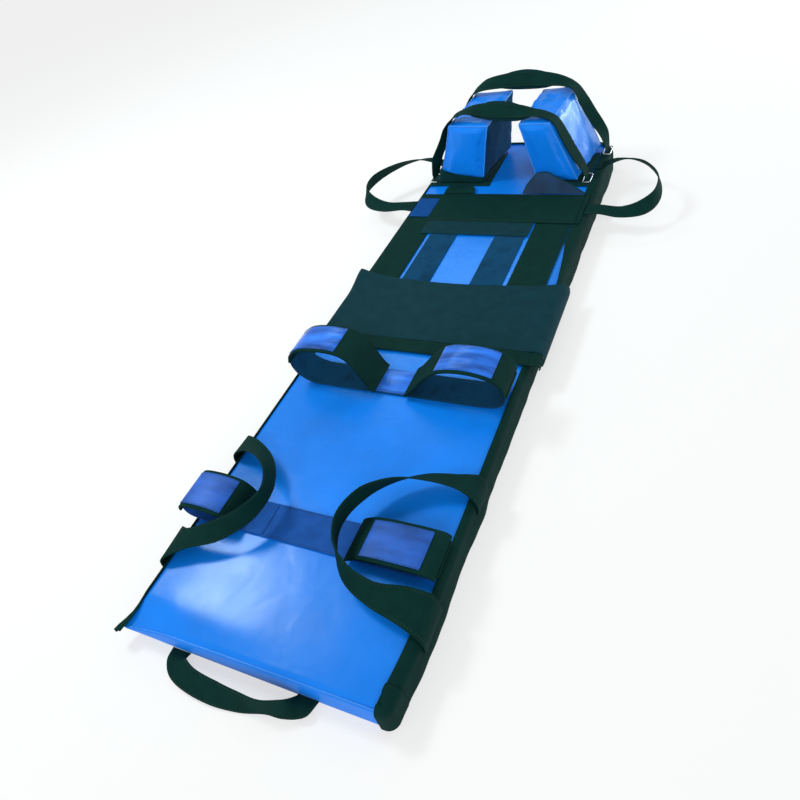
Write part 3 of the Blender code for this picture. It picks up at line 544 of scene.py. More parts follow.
def twin_wall(name):
    """Extruded twin-wall polypropylene: two skins on flutes 6 mm apart, which show as soft stripes."""
    finish, tree, shader, place = new_material(name)
    flutes = add_node(tree, "TexWave", {"Vector": place, "Scale": bands(0.006)}, bands_direction="X")
    tint = add_node(tree, "ValToRGB", {"Fac": flutes.outputs["Fac"]}, (
        (0.0, (*linear("#cfcfca"), 1.0)), (1.0, (*linear("#e6e6e0"), 1.0)),
    ))
    plug(tree, shader, {"Base Color": tint, "Roughness": 0.45})
    return finish


def plated_wire(name):
    """Zinc-plated steel wire: bright, with a slightly uneven plated skin."""
    finish, tree, shader, place = new_material(name)
    skin = add_node(tree, "TexNoise", {"Vector": place, "Scale": 300.0, "Detail": 2.0})
    gloss = add_node(tree, "MapRange", {"Value": skin, "To Min": 0.15, "To Max": 0.35})
    plug(tree, shader, {"Base Color": (*linear("#c4c7ca"), 1.0), "Roughness": gloss, "Metallic": 1.0})
    return finish


def thread_material(name):
    """Bonded polyester thread: twisted, with a faint lustre."""
    finish, tree, shader, place = new_material(name)
    twist = add_node(tree, "TexNoise", {"Vector": place, "Scale": 900.0})
    tint = add_node(tree, "ValToRGB", {"Fac": twist}, (
        (0.0, shaded(colours().thread, 0.7)), (1.0, shaded(colours().thread, 1.2)),
    ))
    plug(tree, shader, {"Base Color": tint, "Roughness": 0.6})
    return finish


def floor_paint(name):
    """Matt floor paint: pale, keeps the shadow, and shows nearly white to the camera and in reflections."""
    finish = bpy.data.materials.new(name)
    finish.use_nodes = True
    tree = finish.node_tree
    tree.nodes.clear()
    diffuse = add_node(tree, "BsdfDiffuse", {"Color": (*colours().floor, 1.0)})
    rays = add_node(tree, "LightPath")
    mirrored = add_node(tree, "Math", {
        0: rays.outputs["Is Glossy Ray"], 1: rays.outputs["Is Transmission Ray"],
    }, operation="MAXIMUM")
    seen = add_node(tree, "Math", {0: rays.outputs["Is Camera Ray"], 1: mirrored}, operation="MAXIMUM")
    share = add_node(tree, "Math", {0: seen, 1: 0.6}, operation="MULTIPLY")
    glow = add_node(tree, "Emission", {"Color": (1.0, 1.0, 1.0, 1.0), "Strength": 1.0})
    mixed = add_node(tree, "MixShader", {0: share, 1: diffuse, 2: glow})
    add_node(tree, "OutputMaterial", {"Surface": mixed})
    return finish


MATERIALS = {
    "pvc_tarpaulin_blue": lambda name: tarpaulin(name, colours().vinyl, 0.24, 0.0016, dent=16.0),
    "pvc_tarpaulin_worn": lambda name: tarpaulin(name, colours().vinyl, 0.50, 0.0012),
    "pvc_tarpaulin_navy": lambda name: tarpaulin(
        name, colours().navy, 0.34, 0.0030, (0.7, 1.4), (20.0, 20.0, 20.0)
    ),
    # The knee film's wide, streaky brightness range is partly painted reflection of its glossy creases,
    # partly its own uneven tone
    "pvc_film_violet": lambda name: tarpaulin(
        name, colours().film, 0.20, 0.0075, (0.60, 2.10), (9.0, 45.0, 20.0), 14.0
    ),
    "pvc_film_scuffed": lambda name: tarpaulin(
        name, colours().film, 0.48, 0.0045, (0.55, 1.25), (12.0, 30.0, 20.0), 12.0
    ),
    # Lighter blue piping: a painted highlight along the edges it follows
    "pvc_piping_painted_highlight": lambda name: tarpaulin(name, colours().piping_highlight, 0.22, 0.0002),
    "polyester_webbing": lambda name: woven(name, colours().webbing, sizes().rib, sizes().rib * 0.7, 0.75),
    "nylon_patch_blue": lambda name: woven(name, colours().patch, sizes().weave, sizes().weave, 0.7),
    "nylon_tape_blue": lambda name: woven(name, colours().tape, sizes().rib, sizes().rib * 0.5, 0.6),
    "nylon_pack_cloth": lambda name: woven(name, colours().belt, sizes().weave, sizes().weave, 0.62),
    "loop_navy_and_painted_shade": lambda name: pile(name, colours().pile),
    "hook_tape_black": lambda name: pile(name, colours().hook),
    "polyether_foam": foam_material,
    "twin_wall_polypropylene": twin_wall,
    "zinc_plated_wire": plated_wire,
    "polyester_thread": thread_material,
    "matt_floor_paint": floor_paint,
}


def material(name):
    """The named material, made when it is first asked for."""
    return bpy.data.materials.get(name) or MATERIALS[name](name)


# Pieces


def link(name, data, material_name):
    data.materials.append(material(material_name))
    obj = bpy.data.objects.new(name, data)
    bpy.context.scene.collection.objects.link(obj)
    return obj


def mesh_piece(name, bm, material_name):
    mesh = bpy.data.meshes.new(name)
    bm.to_mesh(mesh)
    bm.free()
    mesh.shade_smooth()
    return link(name, mesh, material_name)


def goes_with(obj, node):
    """The piece rides with a node's body."""
    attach(obj, BODY_OF[node])
    return obj


def stands_for(obj, *nodes):
    """The piece goes with the first node, and stands for all the nodes."""
    goes_with(obj, nodes[0])
    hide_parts(*nodes)
    return obj


def thicken(obj, thickness, edge, steps):
    """Gives a sheet its thickness and rounds its edges."""
    wall = obj.modifiers.new("Thickness", "SOLIDIFY")
    wall.thickness = thickness
    wall.offset = 0.0
    wall.use_even_offset = True
    rounding = obj.modifiers.new("Edge", "BEVEL")
    rounding.width = edge
    rounding.segments = steps
    rounding.limit_method = "ANGLE"
    rounding.angle_limit = EDGE_ANGLE
    return obj


def apply_modifiers(obj):
    depsgraph = bpy.context.evaluated_depsgraph_get()
    made = bpy.data.meshes.new_from_object(obj.evaluated_get(depsgraph))
    made.name = obj.name
    obj.modifiers.clear()
    obj.data = made


def surface(obj):
    """A piece's finished surface, to look for its nearest points."""
    bpy.context.view_layer.update()
    return BVHTree.FromObject(obj, bpy.context.evaluated_depsgraph_get())


def follow(points, steps):
    """Points on a smooth curve through points, with so many steps from each to the next."""
    points = [Vector(p) for p in points]
    ends = [points[0] * 2 - points[1], *points, points[-1] * 2 - points[-2]]
    found = []
    for a, b, c, d in zip(ends, ends[1:], ends[2:], ends[3:]):
        length = (c - b).length
        leave = (c - a) * (length / max(length + (b - a).length, 1e-9)) / 3
        arrive = (d - b) * (length / max(length + (d - c).length, 1e-9)) / 3
        found += interpolate_bezier(b, b + leave, c - arrive, c, steps + 1)[:-1]
    return [*found, points[-1]]


def run_lengths(points):
    """The length of the run up to each of its points."""
    lengths = [0.0]
    for a, b in zip(points, points[1:]):
        lengths.append(lengths[-1] + (b - a).length)
    return lengths


def even_points(line, spacing):
    """Points at an even spacing along a line of points."""
    found = [line[0]]
    carried = 0.0
    for a, b in zip(line, line[1:]):
        step = (b - a).length
        position = spacing - carried
        while position <= step:
            found.append(a.lerp(b, position / step))
            position += spacing
        carried = step - (position - spacing)
    return found


def round_corner(middle, radius, start, steps):
    """(point, outward) round a quarter circle, from an angle in degrees."""
    path = []
    for step in range(steps + 1):
        angle = math.radians(start + 90 * step / steps)
        outward = Vector((math.cos(angle), math.sin(angle), 0))
        path.append((middle + outward * radius, outward))
    return path


def cloth_grid(columns, rows, locate):
    """A grid with a UV map in metres, across then along. locate(column, row), where row runs from -0.5 to
    0.5, gives a point's place and its place on the map."""
    bm = bmesh.new()
    uv = bm.loops.layers.uv.new("UVMap")
    bmesh.ops.create_grid(bm, x_segments=columns - 1, y_segments=rows - 1, size=0.5)
    placed = {v: locate(round((v.co.x + 0.5) * (columns - 1)), v.co.y) for v in bm.verts}
    for face in bm.faces:
        for loop in face.loops:
            loop[uv].uv = placed[loop.vert][1]
    for vert, (place, _) in placed.items():
        vert.co = place
    return bm


class Strip:
    """A run of cloth: middle points, half-width vectors and face normals along it."""

    def __init__(self, middles, halves):
        self.middles = middles
        self.halves = halves
        last = len(middles) - 1
        self.normals = []
        for i, half in enumerate(halves):
            tangent = middles[min(i + 1, last)] - middles[max(i - 1, 0)]
            self.normals.append(tangent.cross(half).normalized())
        self.lengths = run_lengths(middles)

    @classmethod
    def through(cls, stations, steps):
        """Through (middle, half-width) stations on a smooth curve."""
        return cls(*(follow(points, steps) for points in zip(*stations)))

    def moved(self, offset):
        """The same run, moved off along its face normals."""
        return Strip([m + n * offset for m, n in zip(self.middles, self.normals)], self.halves)

    def chosen(self, keep):
        """The run on those of its points that keep(middle, share of the length) is true for."""
        kept = [i for i, m in enumerate(self.middles) if keep(m, self.lengths[i] / self.lengths[-1])]
        return Strip([self.middles[i] for i in kept], [self.halves[i] for i in kept])

    def part(self, first, last):
        """The run between two shares of its length."""
        return self.chosen(lambda middle, share: first - 1e-6 <= share <= last + 1e-6)

    def between(self, left, right):
        """The run between two places across the board."""
        return self.chosen(lambda middle, share: left <= middle.x <= right)

    def narrowed(self, half):
        return Strip(self.middles, [h.normalized() * half for h in self.halves])

    def line(self, across, lift):
        """Points along the run at a share of its half width, lifted off its face."""
        return [m + h * across + n * lift for m, h, n in zip(self.middles, self.halves, self.normals)]

    def lines(self, shares, lift):
        return [self.line(share, lift) for share in shares]

    def cross(self, column, lift):
        """Points across the run at one of its columns, lifted off its face."""
        middle, half, normal = self.middles[column], self.halves[column], self.normals[column]
        return [middle + half * (0.9 * step / 10) + normal * lift for step in range(-10, 11)]

    def piece(self, name, material_name, make, shape=None):
        """Cloth along the run. shape(point, along, across) may move each point."""
        def locate(column, row):
            across = row * 2
            half = self.halves[column]
            place = self.middles[column] + half * across
            if shape:
                place = shape(place, self.lengths[column] / self.lengths[-1], across)
            return place, (across * half.length, self.lengths[column])

        rows, *rest = make
        return thicken(mesh_piece(name, cloth_grid(len(self.middles), rows, locate), material_name), *rest)


def cords(name, lines, radius, material_name, roundness=3, closed=False):
    """Round cords along lines of points."""
    curve = bpy.data.curves.new(name, "CURVE")
    curve.dimensions = "3D"
    curve.bevel_depth = radius
    curve.bevel_resolution = roundness
    curve.use_fill_caps = True
    for line in lines:
        spline = curve.splines.new("POLY")
        spline.points.add(len(line) - 1)
        spline.use_cyclic_u = closed
        for point, spot in zip(spline.points, line):
            point.co = (*spot, 1.0)
    return link(name, curve, material_name)


def sew(name, node, lines):
    """Stitches along lines of points, as short bent threads, on a node's body."""
    stitches = []
    for line in lines:
        spots = even_points(line, sizes().stitch / 4)
        stitches += [spots[first:first + 3] for first in range(0, len(spots) - 3, 4)]
    goes_with(cords(name, stitches, sizes().thread / 2, "polyester_thread", roundness=0), node)


def laid(name, node, material_name, lengthways, stitched=(), wave=0.0003, edge=0.0005):
    """A flat strip of cloth in the box of a flat CAD node, along X or Y, with small waves and stitches."""
    low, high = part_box(node)
    size = high - low
    steps = max(int(size[lengthways] / LAID_STEP), 4)
    half = Vector((0, 0, 0))
    half[1 - lengthways] = size[1 - lengthways] / 2
    middles = [(low + high) / 2 for _ in range(steps + 1)]
    for step, place in enumerate(middles):
        place[lengthways] = low[lengthways] + size[lengthways] * step / steps
    strip = Strip(middles, [half] * (steps + 1))

    def shape(place, along, across):
        ripple = noise.noise(place * RIPPLES + Vector((RIPPLES, RIPPLES, 0.0)))
        return place + Vector((0, 0, wave * ripple))

    obj = strip.piece(name, material_name, (9, size.z - 2 * wave, edge, 2), shape)
    stands_for(obj, node)
    if stitched:
        sew(f"{name}_stitches", node, strip.lines(stitched, size.z / 2 + THREAD_LIFT))
    return obj


def puff(obj, voxel, cap, floor, frames=20):
    """Swells a closed form as a stuffed cover does: remesh, cloth under pressure, then a cap on each point's
    travel."""
    remesh = obj.modifiers.new("Voxels", "REMESH")
    remesh.mode = "VOXEL"
    remesh.voxel_size = voxel
    apply_modifiers(obj)
    rest = [v.co.copy() for v in obj.data.vertices]
    cloth = obj.modifiers.new("Stuffing", "CLOTH")
    cloth.settings.use_pressure = True
    cloth.settings.uniform_pressure_force = 4.0
    cloth.settings.effector_weights.gravity = 0.0
    cloth.point_cache.frame_start = 1
    cloth.point_cache.frame_end = frames
    for number in range(1, frames + 1):
        bpy.context.scene.frame_set(number)
    apply_modifiers(obj)
    bpy.context.scene.frame_set(1)
    for vert, start in zip(obj.data.vertices, rest):
        travel = vert.co - start
        travel.length = min(travel.length, cap)
        vert.co = start + travel
        vert.co.z = max(vert.co.z, floor)


# Board


def plan_slab(node, edge, edge_steps):
    """A slab that fills a layer's CAD box, with the board's plan and a rounded upper edge."""
    low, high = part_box(node)
    size = high - low
    bm = bmesh.new()
    bmesh.ops.create_grid(bm, x_segments=1, y_segments=1, size=0.5)
    bmesh.ops.scale(bm, verts=bm.verts, vec=(size.x, size.y, 1.0))
    head = [v for v in bm.verts if v.co.y > 0]
    foot = [v for v in bm.verts if v.co.y < 0]
    for corners, radius in ((head, HEAD_CORNER), (foot, FOOT_CORNER)):
        bmesh.ops.bevel(
            bm, geom=corners, offset=radius, offset_type="OFFSET", segments=CORNER_STEPS, profile=0.5,
            affect="VERTICES", material=-1,
        )
    bmesh.ops.translate(bm, verts=bm.verts, vec=(0, (low.y + high.y) / 2, low.z))
    raised = bmesh.ops.extrude_face_region(bm, geom=bm.faces[:])["geom"]
    tops = [v for v in raised if isinstance(v, bmesh.types.BMVert)]
    bmesh.ops.translate(bm, verts=tops, vec=(0, 0, size.z))
    bmesh.ops.recalc_face_normals(bm, faces=bm.faces)
    rim = [e for e in bm.edges if all(v.co.z > high.z - 1e-6 for v in e.verts)]
    bmesh.ops.bevel(
        bm, geom=rim, offset=edge, offset_type="OFFSET", segments=edge_steps, profile=0.5,
        affect="EDGES", material=-1,
    )
    return bm


def slice_up(bm, spacing):
    """Cuts a mesh into a grid of cells across and along the board."""
    for axis, half in ((0, BOARD_HIGH.x), (1, BOARD_HIGH.y)):
        normal = Vector((0, 0, 0))
        normal[axis] = 1.0
        count = int(2 * half / spacing)
        for step in range(1, count):
            at = normal * (-half + 2 * half * step / count)
            geometry = bm.verts[:] + bm.edges[:] + bm.faces[:]
            bmesh.ops.bisect_plane(bm, geom=geometry, plane_co=at, plane_no=normal, dist=1e-5)


def foot_draw(y):
    """How far the right side is drawn in at the foot end."""
    return FOOT_DRAW * (1 - ease(y, BOARD_LOW.y, BOARD_LOW.y + FOOT_DRAW_RUN))


def pinch(place):
    """Draws the left corner at the foot end out to a flat point, and flattens the foot wall towards it."""
    place.x -= foot_draw(place.y) * ease(place.x, *FOOT_DRAW_SIDE)
    near = 1 - ease(place.x, BOARD_LOW.x, BOARD_LOW.x + PINCH_ACROSS)
    far = 1 - ease(place.x, BOARD_LOW.x, BOARD_HIGH.x)
    share = (0.55 * near + 0.45 * far) * (1 - ease(place.y, BOARD_LOW.y, BOARD_LOW.y + PINCH_ALONG))
    place.x -= sizes().corner_pull * share**3
    place.y -= 0.2 * sizes().corner_pull * share**3
    place.z += (PINCH_HEIGHT - place.z) * 0.95 * share**1.5


def cover_wave(place):
    """How far the vinyl lies below or above flat: low along the sides, and waving gently in between."""
    side = ease(abs(place.x), *SIDE_RUN)
    foot = 1 - ease(place.y - BOARD_LOW.y, 0.0, FOOT_RUN)
    wide = noise.noise(Vector((place.x * 4.0, place.y * 2.6, 0.0)))
    narrow = noise.noise(Vector((place.x * 11.0 + 7.0, place.y * 8.0, 3.0)))
    return sizes().cover_wave * (wide + 0.45 * narrow - 0.9) - SIDE_FALL * side - FOOT_FALL * foot


def build_cover():
    bm = plan_slab("top_cover", EDGE_RADIUS, EDGE_STEPS)
    slice_up(bm, COVER_CELL)
    for vert in bm.verts:
        share = ease(vert.co.z, BOARD_TOP - EDGE_RADIUS, BOARD_TOP)
        vert.co.z += share * cover_wave(vert.co)
        pinch(vert.co)
    cover = mesh_piece("board_cover", bm, "pvc_tarpaulin_blue")
    cover.data.set_sharp_from_angle(angle=SHARP_ANGLE)
    cover.data.materials.append(material("pvc_tarpaulin_worn"))
    for face in cover.data.polygons:
        if face.normal.y < -WORN_FACING:
            face.material_index = 1
    stands_for(cover, "top_cover")
    spots = []
    for step in range(-50, 51):
        spot = Vector((SEAM_HALF * step / 50, BOARD_LOW.y + SEAM_INSET, BOARD_TOP - SEAM_BELOW))
        pinch(spot)
        spots.append(spot)
    goes_with(cords("foot_edge_seam", [spots], SEAM_RADIUS, "pvc_piping_painted_highlight"), "top_cover")


def build_layers():
    """Underside sheet, foam pads and the stiff core."""
    bm = plan_slab("bottom_cover", SHEET_EDGE, 2)
    slice_up(bm, COVER_CELL)
    for vert in bm.verts:
        pinch(vert.co)
    sheet = mesh_piece("underside_sheet", bm, "pvc_tarpaulin_blue")
    stands_for(sheet, "bottom_cover")
    for layer in ("upper", "lower"):
        node = f"foam_{layer}"
        bm = plan_slab(node, FOAM_EDGE, 3)
        slice_up(bm, 2 * COVER_CELL)
        bmesh.ops.scale(bm, verts=bm.verts, vec=FOAM_FIT)
        for vert in bm.verts:
            vert.co.z = min(vert.co.z, BOARD_TOP - FOAM_BELOW)
            pinch(vert.co)
        pad = stands_for(mesh_piece(f"foam_pad_{layer}", bm, "polyether_foam"), node)
    core = frame["nodes"]["core_board"]
    core.data.materials.clear()
    core.data.materials.append(material("twin_wall_polypropylene"))


# Edge webbing


def edge_point(distance, lift):
    """(inset, height) on the board's edge, that far from a line inside it, over the round edge and down."""
    radius = EDGE_RADIUS + lift
    flat = EDGE_START - EDGE_RADIUS
    if distance < flat:
        return EDGE_START - distance, BOARD_TOP + lift
    angle = (distance - flat) / radius
    if angle < math.pi / 2:
        return EDGE_RADIUS - radius * math.sin(angle), BOARD_TOP - EDGE_RADIUS + radius * math.cos(angle)
    return -lift, BOARD_TOP - EDGE_RADIUS - (distance - flat - radius * math.pi / 2)


def edging(name, path, reach, shift, lift):
    """Webbing folded over the board's edge. path holds (point on the plan's edge, outward), reach(y) is how
    far it laps over the top, and shift(point, share) moves it, from the top hem at 0 to the ground at 1."""
    end = EDGE_START - EDGE_RADIUS + (EDGE_RADIUS + lift) * math.pi / 2 + BOARD_TOP - EDGE_RADIUS
    lengths = run_lengths([point for point, _ in path])

    def locate(column, row):
        share = row + 0.5
        point, outward = path[column]
        start = EDGE_START - reach(point.y)
        distance = start + (end - start) * share
        inset, height = edge_point(distance, lift)
        place = Vector((point.x, point.y, height)) - outward * inset
        place += shift(place, share)
        place.z = max(place.z, EDGE_GROUND)
        return place, (distance, lengths[column])

    rows, *rest = EDGING_MAKE
    return thicken(mesh_piece(name, cloth_grid(len(path), rows, locate), "polyester_webbing"), *rest)


def side_path(side, node, past):
    """Along a side of the board, from so far past the node's foot end to its head end."""
    low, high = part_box(node)
    first, last = low.y - past, high.y
    count = int((last - first) / EDGING_STEP)
    outward = Vector((side, 0, 0))
    return [
        (Vector((side * BOARD_HIGH.x, first + (last - first) * step / count, 0)), outward)
        for step in range(count + 1)
    ]


def head_path():
    """Round both head corners, from the right side to the left, lapping over the side edgings' ends."""
    across, along = BOARD_HIGH.x - HEAD_CORNER, BOARD_HIGH.y - HEAD_CORNER
    right = round_corner(Vector((across, along, 0)), HEAD_CORNER, 0, HEAD_STEPS)
    left = round_corner(Vector((-across, along, 0)), HEAD_CORNER, 90, HEAD_STEPS)
    straight = [
        (right[-1][0].lerp(left[0][0], step / HEAD_STRAIGHT_STEPS), Vector((0, 1, 0)))
        for step in range(1, HEAD_STRAIGHT_STEPS)
    ]
    path = right + straight + left
    lap = Vector((0, HEAD_LAP, 0))
    return [(path[0][0] - lap, path[0][1])] + path + [(path[-1][0] - lap, path[-1][1])]


def foot_fold_path():
    """Round the right corner at the foot end, from the foot wall to the side."""
    middle = Vector((BOARD_HIGH.x - FOOT_CORNER, BOARD_LOW.y + FOOT_CORNER, 0))
    wall = [
        (middle - Vector((step * FOLD_WALL_STEP, FOOT_CORNER, 0)), Vector((0, -1, 0))) for step in (3, 2, 1)
    ]
    side = [
        (middle + Vector((FOOT_CORNER, step * FOLD_SIDE_STEP, 0)), Vector((1, 0, 0))) for step in range(1, 8)
    ]
    return wall + round_corner(middle, FOOT_CORNER, -90, FOLD_STEPS) + side


def right_reach(y):
    """The right edging laps 12 mm over the top, more at both ends, and in a sliver between the belts."""
    along = y - BOARD_LOW.y
    gap = ease(along, 0.90, 1.03) * max(1.225 - along, 0.0) / 0.195
    ends = 0.0185 * ease(along, 0.80, 0.90) + 0.0085 * (1 - ease(along, 0.10, 0.20))
    return 0.0115 + ends - 0.023 * min(gap, 1.0) ** 0.7


def right_shift(place, share):
    """The right edging waves out sideways below the top, and is drawn in at the foot end."""
    wide = noise.noise(Vector((0.0, place.y * 9.0, 1.0)))
    wave = wide + 0.6 * noise.noise(Vector((5.0, place.y * 23.0, 1.0)))
    side = sizes().edging_wave * (wave + 0.6) * ease(share, 0.35, 0.8)
    return Vector((side - foot_draw(place.y), 0, 0))


def fold_reach(y):
    """Round the corner the fold laps just less than the corner's radius over the top, and more behind it."""
    along = y - BOARD_LOW.y
    return 0.0100 + 0.0035 * ease(along, 0.0, FOOT_CORNER) + 0.0070 * ease(along, FOOT_CORNER, 0.032)


def fold_shift(place, share):
    return Vector((-foot_draw(place.y), 0, 0))


def left_reach(y):
    """The left edging barely laps over the top, except at the foot end."""
    return 0.0062 + 0.0088 * (1 - ease(y - BOARD_LOW.y, 0.0, 0.05))


def left_shift(place, share):
    """The left edging is loose at the foot end, where it stands off as a small wing."""
    wave = noise.noise(Vector((9.0, place.y * 9.0, 1.0)))
    loose = 1 - ease(place.y - BOARD_LOW.y, 0.0, 0.06)
    side = -0.4 * sizes().edging_wave * (wave + 0.6) * ease(share, 0.35, 0.8)
    drawn = sizes().corner_pull * loose**2
    return Vector((side - drawn, -0.016 * loose, (0.033 - place.z) * 0.8 * loose))


def head_reach(y):
    return HEAD_REACH


def head_shift(place, share):
    return Vector((0, 0, 0))


def build_edging():
    right = side_path(1, "side_border_right", RIGHT_PAST)
    left = side_path(-1, "side_border_left", LEFT_PAST)
    head, fold = head_path(), foot_fold_path()
    stands_for(edging("edge_webbing_right", right, right_reach, right_shift, SIDE_LIFT), "side_border_right")
    stands_for(edging("edge_webbing_left", left, left_reach, left_shift, SIDE_LIFT), "side_border_left")
    stands_for(edging("edge_webbing_head", head, head_reach, head_shift, HEAD_LIFT), "head_border")
    goes_with(edging("edge_webbing_foot_fold", fold, fold_reach, fold_shift, FOLD_LIFT), "side_border_right")


# Torso


def build_bands():
    for side in ("left", "right"):
        laid(f"torso_webbing_{side}", f"torso_band_{side}", "polyester_webbing", 1, (-0.94, 0.94))
        laid(f"loop_pile_{side}", f"loop_strip_{side}", "loop_navy_and_painted_shade", 1, STRIP_SEAMS)


def build_waist_belt():
    middle = sum(WAIST_SPAN) / 2
    half = (WAIST_SPAN[1] - WAIST_SPAN[0]) / 2
    strip = Strip.through([((x, from_foot(middle), z), (0, half, 0)) for x, z in WAIST_BELT], 8)

    def shape(place, along, across):
        """The upper hem sags, the upper left corner stands up, and the cloth waves a little."""
        upper = ease(across, -0.2, 1.0)
        spread = (place.x / BELT_REACH) ** 2
        bow = sizes().belt_bow * upper * (1.6 * min(spread, 1.1) - 1.0)
        end = ease(along, 0.93, 1.0)
        bow -= BELT_END_DRAW * end * ease(across, 0.3, 1.0)
        corner = ease(-place.x, 0.17, 0.27) * ease(across, 0.2, 1.0) * ease(along, 0.004, 0.025)
        ripple = BELT_RIPPLE * noise.noise(Vector((place.x * 7.0, place.y * 13.0, 5.0)))
        return place + Vector((-0.006 * corner, bow, sizes().corner_lift * corner + ripple + BELT_CLEAR))

    belt = stands_for(strip.piece("waist_belt_cloth", "nylon_pack_cloth", BELT_MAKE, shape), "waist_belt")
    rolled_hem(belt, "waist_belt", WAIST_SPAN, "waist_belt_anchor")
    laid("waist_belt_lower_hem", "waist_belt_hem", "polyester_webbing", 0, (-0.7, 0.7), 0.0004)
    laid("waist_belt_sewn_end", "waist_belt_anchor", "polyester_webbing", 1, (), 0.0)

    low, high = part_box("waist_belt_hem")
    hem_middle, hem_half = (low.y + high.y) / 2, (high.y - low.y) / 2
    for side, path in WAIST_HEM_FOLDS.items():
        stations = [((x, hem_middle + draw, z), (0, hem_half - draw, 0)) for x, z, draw in path]
        fold = Strip.through(stations, 8)
        name = f"waist_belt_hem_fold_{side}"
        goes_with(fold.piece(name, "polyester_webbing", HEM_FOLD_MAKE), "waist_belt_hem")


def build_chest_belt():
    belt = laid("chest_belt_cloth", "chest_belt", "polyester_webbing", 0, (-0.95, 0.95), 0.0005, 0.0010)
    seams = (-0.3, 0.3, 0.9)
    laid("chest_belt_hook_strip", "chest_belt_strip", "nylon_pack_cloth", 0, seams, 0.0006, 0.0008)
    laid("chest_belt_sewn_end", "chest_belt_anchor", "polyester_webbing", 1, (), 0.0)


def build_shoulder_tabs():
    for node, stations in SHOULDER_TABS.items():
        strip = Strip.through([((x, from_foot(y), z), (-half, 0, 0)) for x, y, z, half in stations], 8)
        tab = stands_for(strip.piece(f"{node}_pad", TAB_CLOTH[node], TAB_MAKE), node)
        rim = strip.line(-0.97, 0.0) + strip.line(0.97, 0.0)[::-1]
        goes_with(cords(f"{node}_rim", [rim], RIM_RADIUS, "nylon_pack_cloth"), node)


# Legs


def rolled_hem(piece, node, span, holder):
    """A round hem along the line that a soft piece turns about, which closes the fold at every angle."""
    x, z = FOLD_LINES[node]
    tree = surface(piece)
    line = [Vector((x, from_foot(span[0] + (span[1] - span[0]) * step / 12), z)) for step in range(13)]
    radius = min(tree.find_nearest(spot)[3] for spot in line[1:-1]) - HEM_GAP
    goes_with(cords(f"{node}_rolled_hem", [line], radius, "polyester_webbing"), holder)
    return radius


def hem_tape(node, leg, side, thickness):
    """The tape that joins a leg strip's end to its cuff's rolled hem, on the strip's outer face."""
    run = [Vector((x, 0, z)) for x, z in LEG_STRIPS[leg]]
    before, end = run[-2:] if side > 0 else run[1::-1]
    along = (end - before).normalized()
    face = Vector((along.z, 0, -along.x)) * (side * STRIP_THICK / 2)
    x, z = FOLD_LINES[node]
    places = (end - along * HEM_LAP + face, end + face, Vector((x, 0, z)))
    at = Vector((0, from_foot(LEG_AT[leg]), 0))
    strip = Strip.through([(place + at, (0, HEM_HALF, 0)) for place in places], 4)
    tape = strip.piece(f"{node}_hem_tape", "polyester_webbing", (7, thickness, thickness / 4, 2))
    goes_with(tape, f"{leg}_strap")


def across_board(path, at, half, lean=UPRIGHT):
    """A strap across the board, which leans along it between two heights."""
    shift, low, high = lean
    stations = []
    for x, z in path:
        share = min(max((z - low) / (high - low), 0.0), 1.0)
        stations.append(((x, from_foot(at) + shift * share, z), (0, half, 0)))
    return Strip.through(stations, 6)


def build_leg_strips():
    # The knee strip's dark navy pile, bare outside its middle film, is painted shade inside the cuffs' loops
    for leg, finish in (("ankle", "nylon_tape_blue"), ("knee", "loop_navy_and_painted_shade")):
        node = f"{leg}_strap"
        strip = across_board(LEG_STRIPS[leg], LEG_AT[leg], STRIP_HALF)
        stands_for(strip.piece(f"{leg}_strip", finish, STRIP_MAKE), node)
        sew(f"{leg}_strip_stitches", node, strip.lines(STRIP_SEAMS, STRIP_THICK / 2 + THREAD_LIFT))
        if leg == "ankle":
            lap = strip.moved(STRIP_THICK / 2 + LAP_LIFT).between(*ANKLE_LAP)
            lap = lap.narrowed(STRIP_HALF - LAP_INSET)
            goes_with(lap.piece("ankle_strip_lap", finish, LAP_MAKE), node)
            sew("ankle_strip_lap_stitches", node, [lap.cross(end, LAP_THREAD_LIFT) for end in (-1, -2)])
        if leg == "knee":
            middle = strip.moved(STRIP_THICK / 2 + PATCH_THICK / 2).between(*KNEE_FILM)
            middle = middle.narrowed(STRIP_HALF - FILM_INSET)
            film = middle.piece("knee_strip_film", "pvc_film_violet", STRIP_FILM_MAKE)
            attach(film, "board")


def crease_film(place, along, across):
    """Film creases away from its sewn edges."""
    crease = noise.noise(place * CREASES)
    inside = (1 - across**4) * (1 - (2 * along - 1) ** 4)
    return place + Vector((0, 0, CREASE_DEPTH * inside * (crease + 0.5)))


def build_cuffs():
    for node, (path, covered) in CUFFS.items():
        side = -1 if node.endswith("left") else 1
        leg = node.split("_")[0]
        at = LEG_AT[leg]
        strip = across_board(path, at, -side * CUFF_HALF, CUFF_LEAN.get(node, UPRIGHT))
        cuff = stands_for(strip.piece(f"{node}_pad", "polyester_webbing", CUFF_MAKE), node)
        radius = rolled_hem(cuff, node, (at - HEM_HALF, at + HEM_HALF), f"{leg}_strap")
        hem_tape(node, leg, side, 2 * radius)
        lift = CUFF_THICK / 2 + PATCH_THICK / 2 + FILM_LIFT
        window = strip.moved(lift).part(*covered).narrowed(CUFF_PATCH_HALF)
        film = window.piece(f"{node}_window", CUFF_FILM[leg], WINDOW_MAKE, crease_film)
        stands_for(film, f"{node}_patch")
        sew(f"{node}_stitches", node, window.lines(WINDOW_SEAMS, PATCH_THICK / 2 + FILM_LIFT))


# Handles


